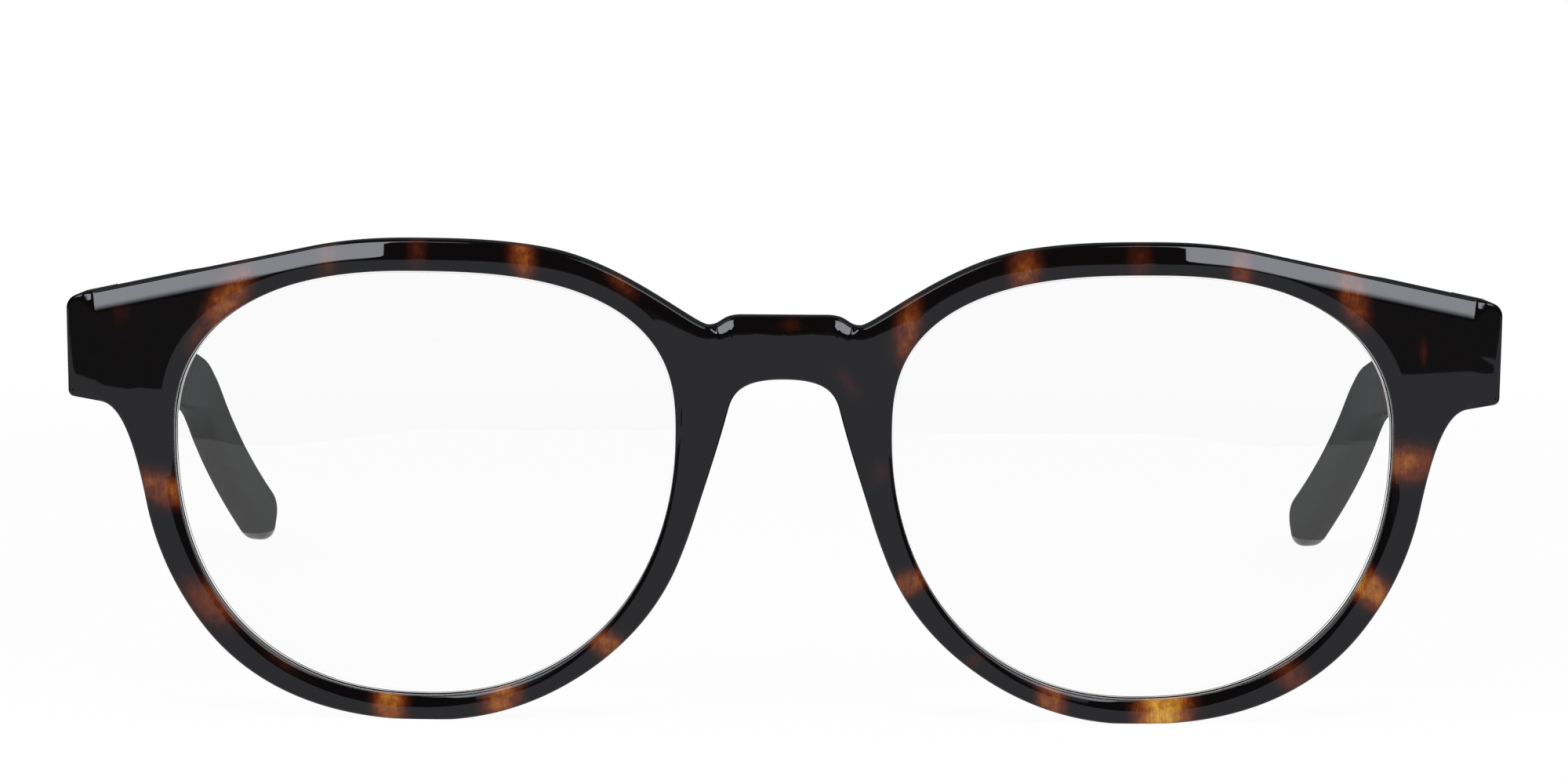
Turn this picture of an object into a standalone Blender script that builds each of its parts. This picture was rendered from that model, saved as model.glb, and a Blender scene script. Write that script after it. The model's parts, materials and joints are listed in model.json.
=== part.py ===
"""Round tortoiseshell acetate spectacles, open and standing on a table.

The front is one bent acetate plate with two grooved eye openings and end pieces that turn back
to the hinges. Each eye holds a clear lens, two pads are bonded behind the nose, and each temple
is a wire-cored acetate arm on a five-barrel hinge. Left and right are the wearer's: the wearer
faces -Y, so the left side is at +X. The front is laid out flat, with x from the middle and z
from the height of the eyes' middle, and then bent.
"""

import math

import bmesh
import bpy
from mathutils import Matrix, Vector

MM = 0.001
DEGREE = math.pi / 180.0

# Eye openings, at the lip that shows from the front.
EYE_WIDTH = 49.85 * MM
EYE_HEIGHT = 42.3 * MM
EYE_SPACING = 21.4 * MM
EYE_WIDEST_share = 0.122
EYE_TOP_APEX_share = 0.02
EYE_BOTTOM_APEX_share = -0.008
EYE_FULLNESS = {
    ("top", "outer"): 2.28,
    ("top", "nasal"): 2.72,
    ("low", "nasal"): 2.14,
    ("low", "outer"): 2.31,
}

# Rim widths, from the lip to the outside of the frame, with the angles that they stand at.
RIM_OUTER = 3.4 * MM
RIM_TOP = 3.1 * MM
RIM_BROW = 3.35 * MM
RIM_NASAL = 3.4 * MM
RIM_NOSE = 2.65 * MM
RIM_CHEEK = 2.2 * MM
RIM_BOTTOM = 2.45 * MM
RIM_LOW_OUTER = 2.9 * MM
RIM_KNOTS = (
    (0.0, RIM_OUTER),
    (90.0, RIM_TOP),
    (140.0, RIM_BROW),
    (175.0, RIM_NASAL),
    (205.0, RIM_NOSE),
    (240.0, RIM_CHEEK),
    (272.0, RIM_BOTTOM),
    (320.0, RIM_LOW_OUTER),
    (360.0, RIM_OUTER),
)

# Bridge, with a notch where it meets each brow and an arch over the nose.
BRIDGE_TOP = 16.9 * MM
BRIDGE_HEIGHT = 6.2 * MM
BRIDGE_FLAT_WIDTH = 8.2 * MM
BRIDGE_SHOULDER_HANDLE = 1.9 * MM
NOTCH_SPACING = 14.8 * MM
NOTCH_DEPTH = 1.05 * MM
NOTCH_HANDLE = 1.7 * MM
NOTCH_BROW_HANDLE = 7.5 * MM
ARCH_HANDLE = 3.9 * MM
NOSE_SHOULDER_WIDTH = 11.0 * MM
NOSE_SHOULDER_DROP = 3.0 * MM
NOSE_SHOULDER_HANDLE = 1.9 * MM
NOSE_SHOULDER_LEAN = 14.5 * DEGREE
NOSE_ANGLE = 196.0
NOTCH_ANGLE = 113.0

# End pieces, which carry the hinges.
END_REACH = 10.7 * MM
END_TOP = 18.2 * MM
END_BOTTOM = 8.35 * MM
END_SIDE_LEAN = 0.15 * MM
END_LOW_RADIUS = 0.7 * MM
END_HIGH_RADIUS = 1.4 * MM
UNDERSIDE_LENGTH = 3.3 * MM
UNDERSIDE_RISE_ANGLE = 9.6 * DEGREE
UNDERSIDE_ANGLE = 348.0
FILLET_RIM_HANDLE = 5.5 * MM
FILLET_END_HANDLE = 2.2 * MM

# The plate that the front is cut from.
FRONT_THICKNESS = 3.9 * MM
FRONT_BEND_RADIUS = 700.0 * MM
BROW_ROUND = 2.0 * MM
SIDE_ROUND = 0.9 * MM
LOWER_ROUND = 0.5 * MM
ROUND_DEPTH_share = 0.55
BACK_ROUND = 0.5 * MM
LIP_BEVEL_WIDTH = 1.2 * MM
LIP_BEVEL_DEPTH = 0.3 * MM
FOOT_FLAT = 0.12 * MM

# The groove that holds each lens.
GROOVE_DEPTH = 0.9 * MM
GROOVE_WIDTH = 1.2 * MM
GROOVE_BACKSET = 1.85 * MM

# Lenses.
LENS_CURVE_RADIUS = 260.0 * MM
LENS_THICKNESS = 2.0 * MM
LENS_BEVEL_WIDTH = 0.9 * MM
LENS_CLEARANCE = 0.2 * MM

# Nose pads, bonded behind the rims.
PAD_ANGLE = 198.0
PAD_LENGTH = 12.5 * MM
PAD_WIDTH = 2.4 * MM
PAD_DEPTH = 3.6 * MM
PAD_FLARE = 0.5 * MM
BOND_GAP = 0.15 * MM

# Hinges.
MITRE_BACKSET = 9.6 * MM
AXIS_SETBACK = 0.2 * MM
BARREL_RADIUS = 1.4 * MM
BARREL_LENGTH = 1.5 * MM
BARREL_COUNT = 5
BARREL_GAP = 0.08 * MM
BARREL_CLEARANCE = 0.15 * MM
LEAF_THICKNESS = 1.0 * MM
LEAF_SUNK = 0.4 * MM
LEAF_CLEARANCE = 0.1 * MM
FRONT_LEAF_LENGTH = 2.5 * MM
TEMPLE_LEAF_LENGTH = 9.0 * MM
TEMPLE_LEAF_SETBACK = 1.4 * MM
TONGUE_THICKNESS = 1.05 * MM
TONGUE_OVERLAP = 1.1 * MM
SEAT_RISE_START = 0.4 * MM
SEAT_RISE_END = 1.4 * MM
SEAT_RISE_REACH = 5.0 * MM
SCREW_RADIUS = 0.62 * MM
SCREW_CLEARANCE = 0.08 * MM
SCREW_HEAD_RADIUS = 1.15 * MM
SCREW_HEAD_HEIGHT = 0.45 * MM
SCREW_SLOT_WIDTH = 0.3 * MM
SCREW_SLOT_DEPTH = 0.25 * MM

# Temples.
TEMPLE_THICKNESS = 4.0 * MM
TEMPLE_BEND_THICKNESS = 3.4 * MM
TEMPLE_TIP_THICKNESS = 3.7 * MM
TEMPLE_FRONT_HEIGHT = 9.6 * MM
TEMPLE_BEND_HEIGHT = 6.0 * MM
TEMPLE_TIP_HEIGHT = 6.6 * MM
TEMPLE_EDGE_RADIUS = 1.0 * MM
TEMPLE_GAP = 0.2 * MM
SHAFT_LENGTH = 104.0 * MM
SHAFT_DROP_ANGLE = 8.3 * DEGREE
SHAFT_INSET = 0.7 * MM
STRAIGHT_LENGTH = 12.0 * MM
SECTION_TURN_LENGTH = 18.0 * MM
BEND_RADIUS = 42.0 * MM
TIP_LENGTH = 41.0 * MM
TIP_INSET = 5.0 * MM
TIP_TWIST = 6.0 * DEGREE
TIP_ROUND_LENGTH = 3.6 * MM
TIP_THINNING_share = 0.45

# Core wires, in the middle of the temples.
WIRE_RADIUS = 0.65 * MM
WIRE_CLEARANCE = 0.25 * MM
WIRE_SETBACK = 1.5 * MM
WIRE_TIP_MARGIN = 20.0 * MM

# How far a cutter runs past the face that it cuts, and how near points are welded.
OVERRUN = 1.0 * MM
WELD_DISTANCE = 0.005 * MM

# Facet counts.
ARCH_STEPS = 6
NOSE_STEPS = 4
LOWER_RIM_STEPS = 28
FILLET_STEPS = 7
LOW_CORNER_STEPS = 3
HIGH_CORNER_STEPS = 4
SIDE_STEPS = 2
BROW_STEPS = 7
UPPER_RIM_STEPS = 10
NOTCH_STEPS = 7
SHOULDER_STEPS = 5
BRIDGE_STEPS = 2
ROUND_ANGLES = (0.0, 35.0, 65.0, 90.0)
LENS_STEPS = 56
LENS_MIDDLE_share = 0.55
PAD_SEGMENTS = 16
PAD_RINGS = 8
BARREL_SIDES = 18
SCREW_SIDES = 16
SHAFT_STEPS = 11
BEND_STEPS = 5
TIP_STEPS = 4
TIP_ROUND_ANGLES = (22.0, 42.0, 60.0, 76.0)
EDGE_STEPS = 3
WIRE_STEPS = 26
SHARP_ANGLE = 35.0 * DEGREE

SIDES = (("left", 1.0), ("right", -1.0))

# Places that follow from the sizes.
EYE_CENTRE_X = (EYE_SPACING + EYE_WIDTH) / 2.0
EYE_CENTRE_Z = EYE_HEIGHT / 2.0 + RIM_BOTTOM - FOOT_FLAT
END_HALF_WIDTH = EYE_SPACING / 2.0 + EYE_WIDTH + END_REACH
HINGE_Z = EYE_CENTRE_Z + (END_TOP + END_BOTTOM) / 2.0
AXIS_Y = MITRE_BACKSET - AXIS_SETBACK
SEAT_Y = AXIS_Y - BARREL_RADIUS - LEAF_CLEARANCE
TEMPLE_START_Y = MITRE_BACKSET + TEMPLE_GAP
BARREL_PITCH = BARREL_LENGTH + BARREL_GAP
BARREL_STACK = BARREL_COUNT * BARREL_PITCH - BARREL_GAP
SEAT_START_X = END_HALF_WIDTH - TEMPLE_THICKNESS - 2.0 * SEAT_RISE_REACH


def smooth_step(value):
    """An S-shaped rise from 0 to 1."""
    u = min(1.0, max(0.0, value))
    return u * u * (3.0 - 2.0 * u)


def along(point, direction, distance):
    """The point at a distance from another."""
    return point[0] + direction[0] * distance, point[1] + direction[1] * distance


def gap_between(a, b):
    """The distance between two points of the flat layout."""
    return math.hypot(b[0] - a[0], b[1] - a[1])


def way_between(a, b):
    """The direction from one point of the flat layout to another."""
    length = gap_between(a, b)
    return (b[0] - a[0]) / length, (b[1] - a[1]) / length


def eye_point(angle):
    """A point of the lip of the left eye, at an angle in degrees."""
    c = math.cos(angle * DEGREE)
    s = math.sin(angle * DEGREE)
    power = EYE_FULLNESS["top" if s >= 0.0 else "low", "outer" if c >= 0.0 else "nasal"]
    apex_share = EYE_TOP_APEX_share if s >= 0.0 else EYE_BOTTOM_APEX_share
    widest = EYE_WIDEST_share * EYE_HEIGHT
    reach = EYE_HEIGHT / 2.0 - math.copysign(widest, s)
    x = EYE_WIDTH / 2.0 * math.copysign(abs(c) ** (2.0 / power), c)
    z = reach * math.copysign(abs(s) ** (2.0 / power), s)
    return EYE_CENTRE_X + x + apex_share * EYE_WIDTH * s * s, widest + z


def eye_normal(angle):
    """The direction out of the eye at a point of its lip."""
    x, z = way_between(eye_point(angle - 0.01), eye_point(angle + 0.01))
    return z, -x


def rim_width(angle):
    """The width of the even rim at an angle round the eye."""
    turned = angle % 360.0
    for (start, low), (end, high) in zip(RIM_KNOTS, RIM_KNOTS[1:]):
        if start <= turned <= end:
            ease = 0.5 - 0.5 * math.cos(math.pi * (turned - start) / (end - start))
            return low + (high - low) * ease
    return RIM_OUTER


def rim_point(angle):
    """A point of the outside of the even rim."""
    return along(eye_point(angle), eye_normal(angle), rim_width(angle))


def rim_direction(angle):
    """The direction along the outside of the even rim, counterclockwise."""
    return way_between(rim_point(angle - 0.1), rim_point(angle + 0.1))


def bezier(start, first, second, end, steps):
    """Points of a cubic curve, without its first point."""
    points = []
    for k in range(1, steps + 1):
        t = k / steps
        u = 1.0 - t
        weights = (u * u * u, 3.0 * u * u * t, 3.0 * u * t * t, t * t * t)
        corners = (start, first, second, end)
        x = sum(weight * corner[0] for weight, corner in zip(weights, corners))
        z = sum(weight * corner[1] for weight, corner in zip(weights, corners))
        points.append((x, z))
    return points


def line(start, end, steps):
    """Points of a straight line, without its first point."""
    way = (end[0] - start[0], end[1] - start[1])
    return [along(start, way, k / steps) for k in range(1, steps + 1)]


def rounded_corner(before, corner, after, radius, steps):
    """Points of the round between two straight sides, with both its ends."""
    back = way_between(corner, before)
    ahead = way_between(corner, after)
    half = math.acos(back[0] * ahead[0] + back[1] * ahead[1]) / 2.0
    reach = radius / math.tan(half)
    handle = reach - radius * 4.0 / 3.0 * math.tan((math.pi / 2.0 - half) / 2.0)
    start = along(corner, back, reach)
    end = along(corner, ahead, reach)
    curve = bezier(start, along(corner, back, handle), along(corner, ahead, handle), end, steps)
    return [start] + curve


def brow_tangent(corner):
    """The angle at which a straight brow from the end piece's corner meets the even rim."""
    best = None
    for angle in range(20, 110):
        x, z = rim_point(angle)
        slope = math.atan2(z - corner[1], corner[0] - x)
        if best is None or slope > best[0]:
            best = (slope, angle)
    return float(best[1])


def outline():
    """The left half of the outline: posts of x, z, width of the rounding, and angle or None.

    It starts under the middle of the bridge and runs down the nose, round the rim, out to the
    end piece, back along the brow, and down the plane of symmetry to where it began.
    """
    posts = []

    def add(places, width, angles=None):
        for k, place in enumerate(places):
            posts.append((*place, width, angles[k] if angles else None))

    arch = (0.0, BRIDGE_TOP - BRIDGE_HEIGHT)
    shoulder = (NOSE_SHOULDER_WIDTH / 2.0, arch[1] - NOSE_SHOULDER_DROP)
    lean = (math.sin(NOSE_SHOULDER_LEAN), -math.cos(NOSE_SHOULDER_LEAN))
    nose = rim_point(NOSE_ANGLE)
    nose_way = rim_direction(NOSE_ANGLE)
    third = gap_between(shoulder, nose) / 3.0
    over_nose = along(shoulder, lean, -NOSE_SHOULDER_HANDLE)
    add([arch], LOWER_ROUND)
    add(bezier(arch, (ARCH_HANDLE, arch[1]), over_nose, shoulder, ARCH_STEPS), LOWER_ROUND)
    down_nose = bezier(
        shoulder, along(shoulder, lean, third), along(nose, nose_way, -third), nose, NOSE_STEPS
    )
    add(down_nose[:-1], LOWER_ROUND)

    sweep = UNDERSIDE_ANGLE - NOSE_ANGLE
    angles = [NOSE_ANGLE + sweep * k / LOWER_RIM_STEPS for k in range(LOWER_RIM_STEPS + 1)]
    add([rim_point(angle) for angle in angles], LOWER_ROUND, angles)

    start = rim_point(UNDERSIDE_ANGLE)
    low = (END_HALF_WIDTH - END_SIDE_LEAN, END_BOTTOM)
    high = (END_HALF_WIDTH, END_TOP)
    under = (math.cos(UNDERSIDE_RISE_ANGLE), math.sin(UNDERSIDE_RISE_ANGLE))
    inner = along(low, under, -UNDERSIDE_LENGTH)
    rim_handle = along(start, rim_direction(UNDERSIDE_ANGLE), FILLET_RIM_HANDLE)
    end_handle = along(inner, under, -FILLET_END_HANDLE)
    add(bezier(start, rim_handle, end_handle, inner, FILLET_STEPS), LOWER_ROUND)
    add(rounded_corner(inner, low, high, END_LOW_RADIUS, LOW_CORNER_STEPS), SIDE_ROUND)

    tangent = brow_tangent(high)
    brow_end = rim_point(tangent)
    corner = rounded_corner(low, high, brow_end, END_HIGH_RADIUS, HIGH_CORNER_STEPS)
    add(line(posts[-1][:2], corner[0], SIDE_STEPS)[:-1], SIDE_ROUND)
    for k, place in enumerate(corner):
        add([place], SIDE_ROUND + (BROW_ROUND - SIDE_ROUND) * k / HIGH_CORNER_STEPS)
    add(line(corner[-1], brow_end, BROW_STEPS)[:-1], BROW_ROUND)

    sweep = NOTCH_ANGLE - tangent
    angles = [tangent + sweep * k / UPPER_RIM_STEPS for k in range(UPPER_RIM_STEPS + 1)]
    add([rim_point(angle) for angle in angles], BROW_ROUND, angles)

    start = rim_point(NOTCH_ANGLE)
    notch = (NOTCH_SPACING / 2.0, BRIDGE_TOP - NOTCH_DEPTH)
    flat = (BRIDGE_FLAT_WIDTH / 2.0, BRIDGE_TOP)
    brow_handle = along(start, rim_direction(NOTCH_ANGLE), NOTCH_BROW_HANDLE)
    notch_handle = (notch[0] + NOTCH_HANDLE, notch[1])
    add(bezier(start, brow_handle, notch_handle, notch, NOTCH_STEPS), BROW_ROUND)
    notch_handle = (notch[0] - NOTCH_HANDLE, notch[1])
    flat_handle = (flat[0] + BRIDGE_SHOULDER_HANDLE, BRIDGE_TOP)
    add(bezier(notch, notch_handle, flat_handle, flat, SHOULDER_STEPS), BROW_ROUND)
    add(line(flat, (0.0, BRIDGE_TOP), BRIDGE_STEPS), BROW_ROUND)

    symmetry_start = len(posts) - 1
    rises = [1.0 - math.sin(angle * DEGREE) for angle in ROUND_ANGLES[-2::-1]]
    add([(0.0, BRIDGE_TOP - BROW_ROUND * rise) for rise in rises], BROW_ROUND)
    add([(0.0, arch[1] + LOWER_ROUND * rise) for rise in rises[::-1]], LOWER_ROUND)
    return posts, symmetry_start


def stations():
    """The outline with an eye angle for every post, spread by length where it has none."""
    posts, symmetry_start = outline()
    count = len(posts)
    known = [k for k in range(count) if posts[k][3] is not None]
    angles = {k: posts[k][3] for k in known}
    for first, last in zip(known, known[1:] + [known[0] + count]):
        lengths = [0.0]
        for k in range(first, last):
            lengths.append(lengths[-1] + gap_between(posts[k % count], posts[(k + 1) % count]))
        sweep = (angles[last % count] - angles[first]) % 360.0
        for k in range(first + 1, last):
            angles[k % count] = angles[first] + sweep * lengths[k - first] / lengths[-1]
    return [(*posts[k][:3], angles[k]) for k in range(count)], symmetry_start


def edge_distance(x, z, edge):
    """The distance to the nearest point of the outline, and the width of its rounding."""
    best = (math.inf, LOWER_ROUND)
    for a, b in zip(edge, edge[1:]):
        dx = b[0] - a[0]
        dz = b[1] - a[1]
        t = ((x - a[0]) * dx + (z - a[1]) * dz) / (dx * dx + dz * dz)
        t = min(1.0, max(0.0, t))
        distance = math.hypot(x - a[0] - dx * t, z - a[1] - dz * t)
        if distance < best[0]:
            best = (distance, a[2] + (b[2] - a[2]) * t)
    return best


def quarter_round(distance, width):
    """How deep a rounded edge lies at a distance from the outline."""
    u = min(1.0, max(0.0, 1.0 - distance / width))
    return width * ROUND_DEPTH_share * (1.0 - math.sqrt(1.0 - u * u))


def bent(x, z, depth):
    """Where a point of the flat plate lies once the plate is bent round the face."""
    lean = x / FRONT_BEND_RADIUS
    upright = math.sqrt(1.0 - lean * lean)
    y = FRONT_BEND_RADIUS * (1.0 - upright) + upright * depth
    return Vector((x - lean * depth, y, EYE_CENTRE_Z + z))


def depth_to(backset, x):
    """The depth in the plate at which it reaches a backset behind the bridge."""
    return (backset - bent(x, 0.0, 0.0).y) / math.sqrt(1.0 - (x / FRONT_BEND_RADIUS) ** 2)


def front_depth(x, z, lip_distance, edge):
    """The depth of the front's face: bevelled at the lip, rounded at the outline."""
    bevel = LIP_BEVEL_DEPTH * max(0.0, 1.0 - lip_distance / LIP_BEVEL_WIDTH)
    return bevel + quarter_round(*edge_distance(x, z, edge))


def back_depth(x, z, lip_distance, edge):
    """The depth of the front's back, which rises to the mitre in the end pieces."""
    rise = smooth_step((x - SEAT_START_X) / SEAT_RISE_REACH)
    rise *= smooth_step((lip_distance - SEAT_RISE_START) / (SEAT_RISE_END - SEAT_RISE_START))
    full = FRONT_THICKNESS + (depth_to(MITRE_BACKSET, x) - FRONT_THICKNESS) * rise
    return full - quarter_round(edge_distance(x, z, edge)[0], BACK_ROUND)


def station_rows(station, outward, edge):
    """The ring of points across the front at one station, and the row of its outer wall."""
    x, z, width, angle = station
    lip = eye_point(angle)
    normal = eye_normal(angle)
    length = gap_between(lip, (x, z))
    way = way_between(lip, (x, z))
    lip_slant = max(0.5, way[0] * normal[0] + way[1] * normal[1])
    edge_slant = max(0.5, way[0] * outward[0] + way[1] * outward[1])
    bevel = min(LIP_BEVEL_WIDTH / lip_slant, 0.4 * length)
    rounding = min(width / edge_slant, 0.5 * length)
    back_rounding = min(BACK_ROUND / edge_slant, 0.2 * length)
    rise_start = min(SEAT_RISE_START / lip_slant, 0.3 * length)
    rise_end = min(SEAT_RISE_END / lip_slant, 0.7 * length)

    front_steps = [0.0, bevel]
    front_steps += [length - rounding * (1.0 - math.sin(a * DEGREE)) for a in ROUND_ANGLES]
    back_steps = [length, length - back_rounding, rise_end, rise_start, 0.0]
    rows = []
    for step in front_steps:
        place = along(lip, way, step)
        rows.append(bent(*place, front_depth(*place, step * lip_slant, edge)))
    wall = len(rows) - 1
    for step in back_steps:
        place = along(lip, way, step)
        rows.append(bent(*place, back_depth(*place, step * lip_slant, edge)))
    rows.append(bent(*lip, GROOVE_BACKSET + GROOVE_WIDTH / 2.0))
    rows.append(bent(*along(lip, normal, GROOVE_DEPTH), GROOVE_BACKSET))
    rows.append(bent(*lip, GROOVE_BACKSET - GROOVE_WIDTH / 2.0))
    return rows, wall


def hinge_outer_face():
    """The distance from the middle to a temple's outer face, at the mitre."""
    return bent(END_HALF_WIDTH, 0.0, depth_to(MITRE_BACKSET, END_HALF_WIDTH)).x


def hinge_inner_face():
    """The distance from the middle to a temple's inner face, at the mitre."""
    return hinge_outer_face() - TEMPLE_THICKNESS


def axis_x():
    """The distance from the middle to a hinge's axis."""
    return hinge_inner_face() - BARREL_CLEARANCE - BARREL_RADIUS


def front_leaf_end():
    """The distance from the middle to the outer end of a front leaf's plate."""
    return axis_x() - BARREL_RADIUS - BARREL_CLEARANCE


def barrel_bottom(index):
    """The height of the underside of a barrel, counted from the lowest."""
    return HINGE_Z - BARREL_STACK / 2.0 + index * BARREL_PITCH


def temple_leaf_height():
    """The height of a temple leaf's plate, from its lowest barrel to its highest."""
    return BARREL_STACK - 2.0 * BARREL_PITCH


def new_collection(name):
    """A new collection in the scene."""
    made = bpy.data.collections.new(name)
    bpy.context.scene.collection.children.link(made)
    return made


def new_material(name, colour, roughness, metallic=0.0, alpha=1.0):
    """A plain material."""
    made = bpy.data.materials.new(name)
    made.use_nodes = True
    shader = made.node_tree.nodes["Principled BSDF"]
    shader.inputs["Base Color"].default_value = (*colour, 1.0)
    shader.inputs["Roughness"].default_value = roughness
    shader.inputs["Metallic"].default_value = metallic
    shader.inputs["Alpha"].default_value = alpha
    made.diffuse_color = (*colour, alpha)
    return made


def acetate(name):
    """Dark tortoiseshell acetate, polished."""
    return new_material(f"{name}_acetate", (0.035, 0.014, 0.008), 0.12)


def steel(name):
    """Nickel-plated steel."""
    return new_material(f"{name}_steel", (0.6, 0.58, 0.54), 0.3, metallic=1.0)


def link_mesh(name, mesh, group, finish=None):
    """An object for a mesh, shaded smooth up to its edges."""
    made = bpy.data.objects.new(name, mesh)
    group.objects.link(made)
    if finish:
        mesh.materials.append(finish)
    mesh.shade_smooth()
    mesh.set_sharp_from_angle(angle=SHARP_ANGLE)
    return made


def mesh_from(name, shape):
    """A mesh from an edit mesh, with its faces pointing out."""
    shape.normal_update()
    bmesh.ops.recalc_face_normals(shape, faces=shape.faces)
    mesh = bpy.data.meshes.new(name)
    shape.to_mesh(mesh)
    shape.free()
    return mesh


def mesh_of_rings(name, rings, first_tip=None, last_tip=None):
    """A closed mesh through rings of points, capped by faces or by tips."""
    shape = bmesh.new()
    rows = [[shape.verts.new(point) for point in ring] for ring in rings]
    for row, after in zip(rows, rows[1:]):
        for k in range(len(row)):
            j = (k + 1) % len(row)
            shape.faces.new((row[k], row[j], after[j], after[k]))
    for row, tip in ((rows[0], first_tip), (rows[-1], last_tip)):
        if tip is None:
            shape.faces.new(row)
            continue
        point = shape.verts.new(tip)
        for k in range(len(row)):
            shape.faces.new((row[k], row[(k + 1) % len(row)], point))
    return mesh_from(name, shape)


def box_mesh(name, low, high, turn=None):
    """A box between two corners, turned about the origin."""
    shape = bmesh.new()
    bmesh.ops.create_cube(shape, size=1.0)
    bmesh.ops.scale(shape, vec=[b - a for a, b in zip(low, high)], verts=shape.verts)
    bmesh.ops.translate(shape, vec=[(a + b) / 2.0 for a, b in zip(low, high)], verts=shape.verts)
    if turn:
        bmesh.ops.transform(shape, matrix=turn, verts=shape.verts)
    return mesh_from(name, shape)


def side_matrix(side):
    """The identity for the left side and a mirror for the right one."""
    return Matrix.Diagonal((side, 1.0, 1.0, 1.0))


def mirror_mesh(mesh, side):
    """Carry a mesh that was made for the left side to its own side."""
    if side < 0.0:
        mesh.transform(side_matrix(side))
        mesh.flip_normals()


def mesh_of_curve(name, data, group):
    """The closed mesh of a curve, whose object is removed."""
    guide = bpy.data.objects.new(f"{name}_guide", data)
    group.objects.link(guide)
    graph = bpy.context.evaluated_depsgraph_get()
    mesh = bpy.data.meshes.new_from_object(guide.evaluated_get(graph))
    bpy.data.objects.remove(guide)
    shape = bmesh.new()
    shape.from_mesh(mesh)
    bmesh.ops.remove_doubles(shape, verts=shape.verts, dist=WELD_DISTANCE)
    return mesh_from(name, shape)


def as_cutter(name, mesh, group):
    """A cutter, which is neither rendered nor built."""
    made = link_mesh(name, mesh, group)
    made.hide_render = True
    made.display_type = "WIRE"
    return made


def combine(made, other, operation):
    """Cut or join one object with another."""
    step = made.modifiers.new(other.name, "BOOLEAN")
    step.operation = operation
    step.object = other


def make_front(group, cutters, floor):
    """The front: a loft from eye to outline, mirrored, cut for the hinges and for its feet."""
    posts, symmetry_start = stations()
    edge = [post[:3] for post in posts[: symmetry_start + 1]]
    count = len(posts)
    rings = []
    wall = 0
    for k, post in enumerate(posts):
        way = way_between(posts[k - 1], posts[(k + 1) % count])
        rows, wall = station_rows(post, (way[1], -way[0]), edge)
        rings.append(rows)
    size = len(rings[0])
    faces = []
    for i in range(count):
        j = (i + 1) % count
        for row in range(size):
            after = (row + 1) % size
            if i < symmetry_start or row != wall:
                faces.append((i * size + row, i * size + after, j * size + after, j * size + row))
    mesh = bpy.data.meshes.new("front")
    mesh.from_pydata([point for ring in rings for point in ring], [], faces)
    made = link_mesh("front", mesh, group, acetate("front"))
    mirror = made.modifiers.new("right_half", "MIRROR")
    mirror.merge_threshold = WELD_DISTANCE
    combine(made, floor, "DIFFERENCE")

    above = EYE_CENTRE_Z + EYE_HEIGHT / 2.0 + RIM_BROW + OVERRUN
    pocket_half = BARREL_STACK / 2.0 + LEAF_CLEARANCE
    for side_name, side in SIDES:
        seat = box_mesh(
            "seat",
            (SEAT_START_X, SEAT_Y, 0.0),
            (hinge_inner_face(), MITRE_BACKSET + OVERRUN, above),
            side_matrix(side),
        )
        combine(made, as_cutter(f"seat_cutter_{side_name}", seat, cutters), "DIFFERENCE")
        pocket = box_mesh(
            "pocket",
            (
                front_leaf_end() - FRONT_LEAF_LENGTH - LEAF_CLEARANCE,
                SEAT_Y - LEAF_SUNK - LEAF_CLEARANCE,
                HINGE_Z - pocket_half,
            ),
            (front_leaf_end() + LEAF_CLEARANCE, SEAT_Y + OVERRUN, HINGE_Z + pocket_half),
            side_matrix(side),
        )
        combine(made, as_cutter(f"front_pocket_cutter_{side_name}", pocket, cutters), "DIFFERENCE")
    return made


def lens_face_point(x, z, centre, radius):
    """Where the plate's normal at a place meets a lens face."""
    start = bent(x, z, 0.0)
    way = (bent(x, z, LENS_THICKNESS) - start).normalized()
    offset = start - centre
    half = offset.dot(way)
    return start + way * (-half - math.sqrt(half * half - offset.length_squared + radius * radius))


def make_lens(side_name, side, group):
    """A clear lens: two round faces, and an edge bevel that sits in the groove."""
    sag = (EYE_WIDTH / 2.0) ** 2 / 2.0 * (1.0 / LENS_CURVE_RADIUS - 1.0 / FRONT_BEND_RADIUS)
    crown = GROOVE_BACKSET - LENS_THICKNESS / 2.0 - sag
    centre = bent(EYE_CENTRE_X, 0.0, crown + LENS_CURVE_RADIUS)
    back_radius = LENS_CURVE_RADIUS - LENS_THICKNESS
    angles = [360.0 * k / LENS_STEPS for k in range(LENS_STEPS)]

    def face_ring(share, radius):
        ring = []
        for angle in angles:
            rim = along(eye_point(angle), eye_normal(angle), -LENS_CLEARANCE)
            x = EYE_CENTRE_X + (rim[0] - EYE_CENTRE_X) * share
            ring.append(lens_face_point(x, rim[1] * share, centre, radius))
        return ring

    def edge_ring(rise, depth):
        return [bent(*along(eye_point(a), eye_normal(a), rise), depth) for a in angles]

    flank_gap = 2.0 * LENS_CLEARANCE * GROOVE_DEPTH / GROOVE_WIDTH
    rings = [
        face_ring(LENS_MIDDLE_share, LENS_CURVE_RADIUS),
        face_ring(1.0, LENS_CURVE_RADIUS),
        edge_ring(-LENS_CLEARANCE, GROOVE_BACKSET - LENS_BEVEL_WIDTH / 2.0),
        edge_ring(GROOVE_DEPTH - flank_gap, GROOVE_BACKSET),
        edge_ring(-LENS_CLEARANCE, GROOVE_BACKSET + LENS_BEVEL_WIDTH / 2.0),
        face_ring(1.0, back_radius),
        face_ring(LENS_MIDDLE_share, back_radius),
    ]
    mesh = mesh_of_rings(
        f"lens_{side_name}",
        rings,
        lens_face_point(EYE_CENTRE_X, 0.0, centre, LENS_CURVE_RADIUS),
        lens_face_point(EYE_CENTRE_X, 0.0, centre, back_radius),
    )
    mirror_mesh(mesh, side)
    glass = new_material(f"lens_{side_name}_clear", (0.95, 0.97, 0.96), 0.02, alpha=0.15)
    return link_mesh(f"lens_{side_name}", mesh, group, glass)


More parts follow.
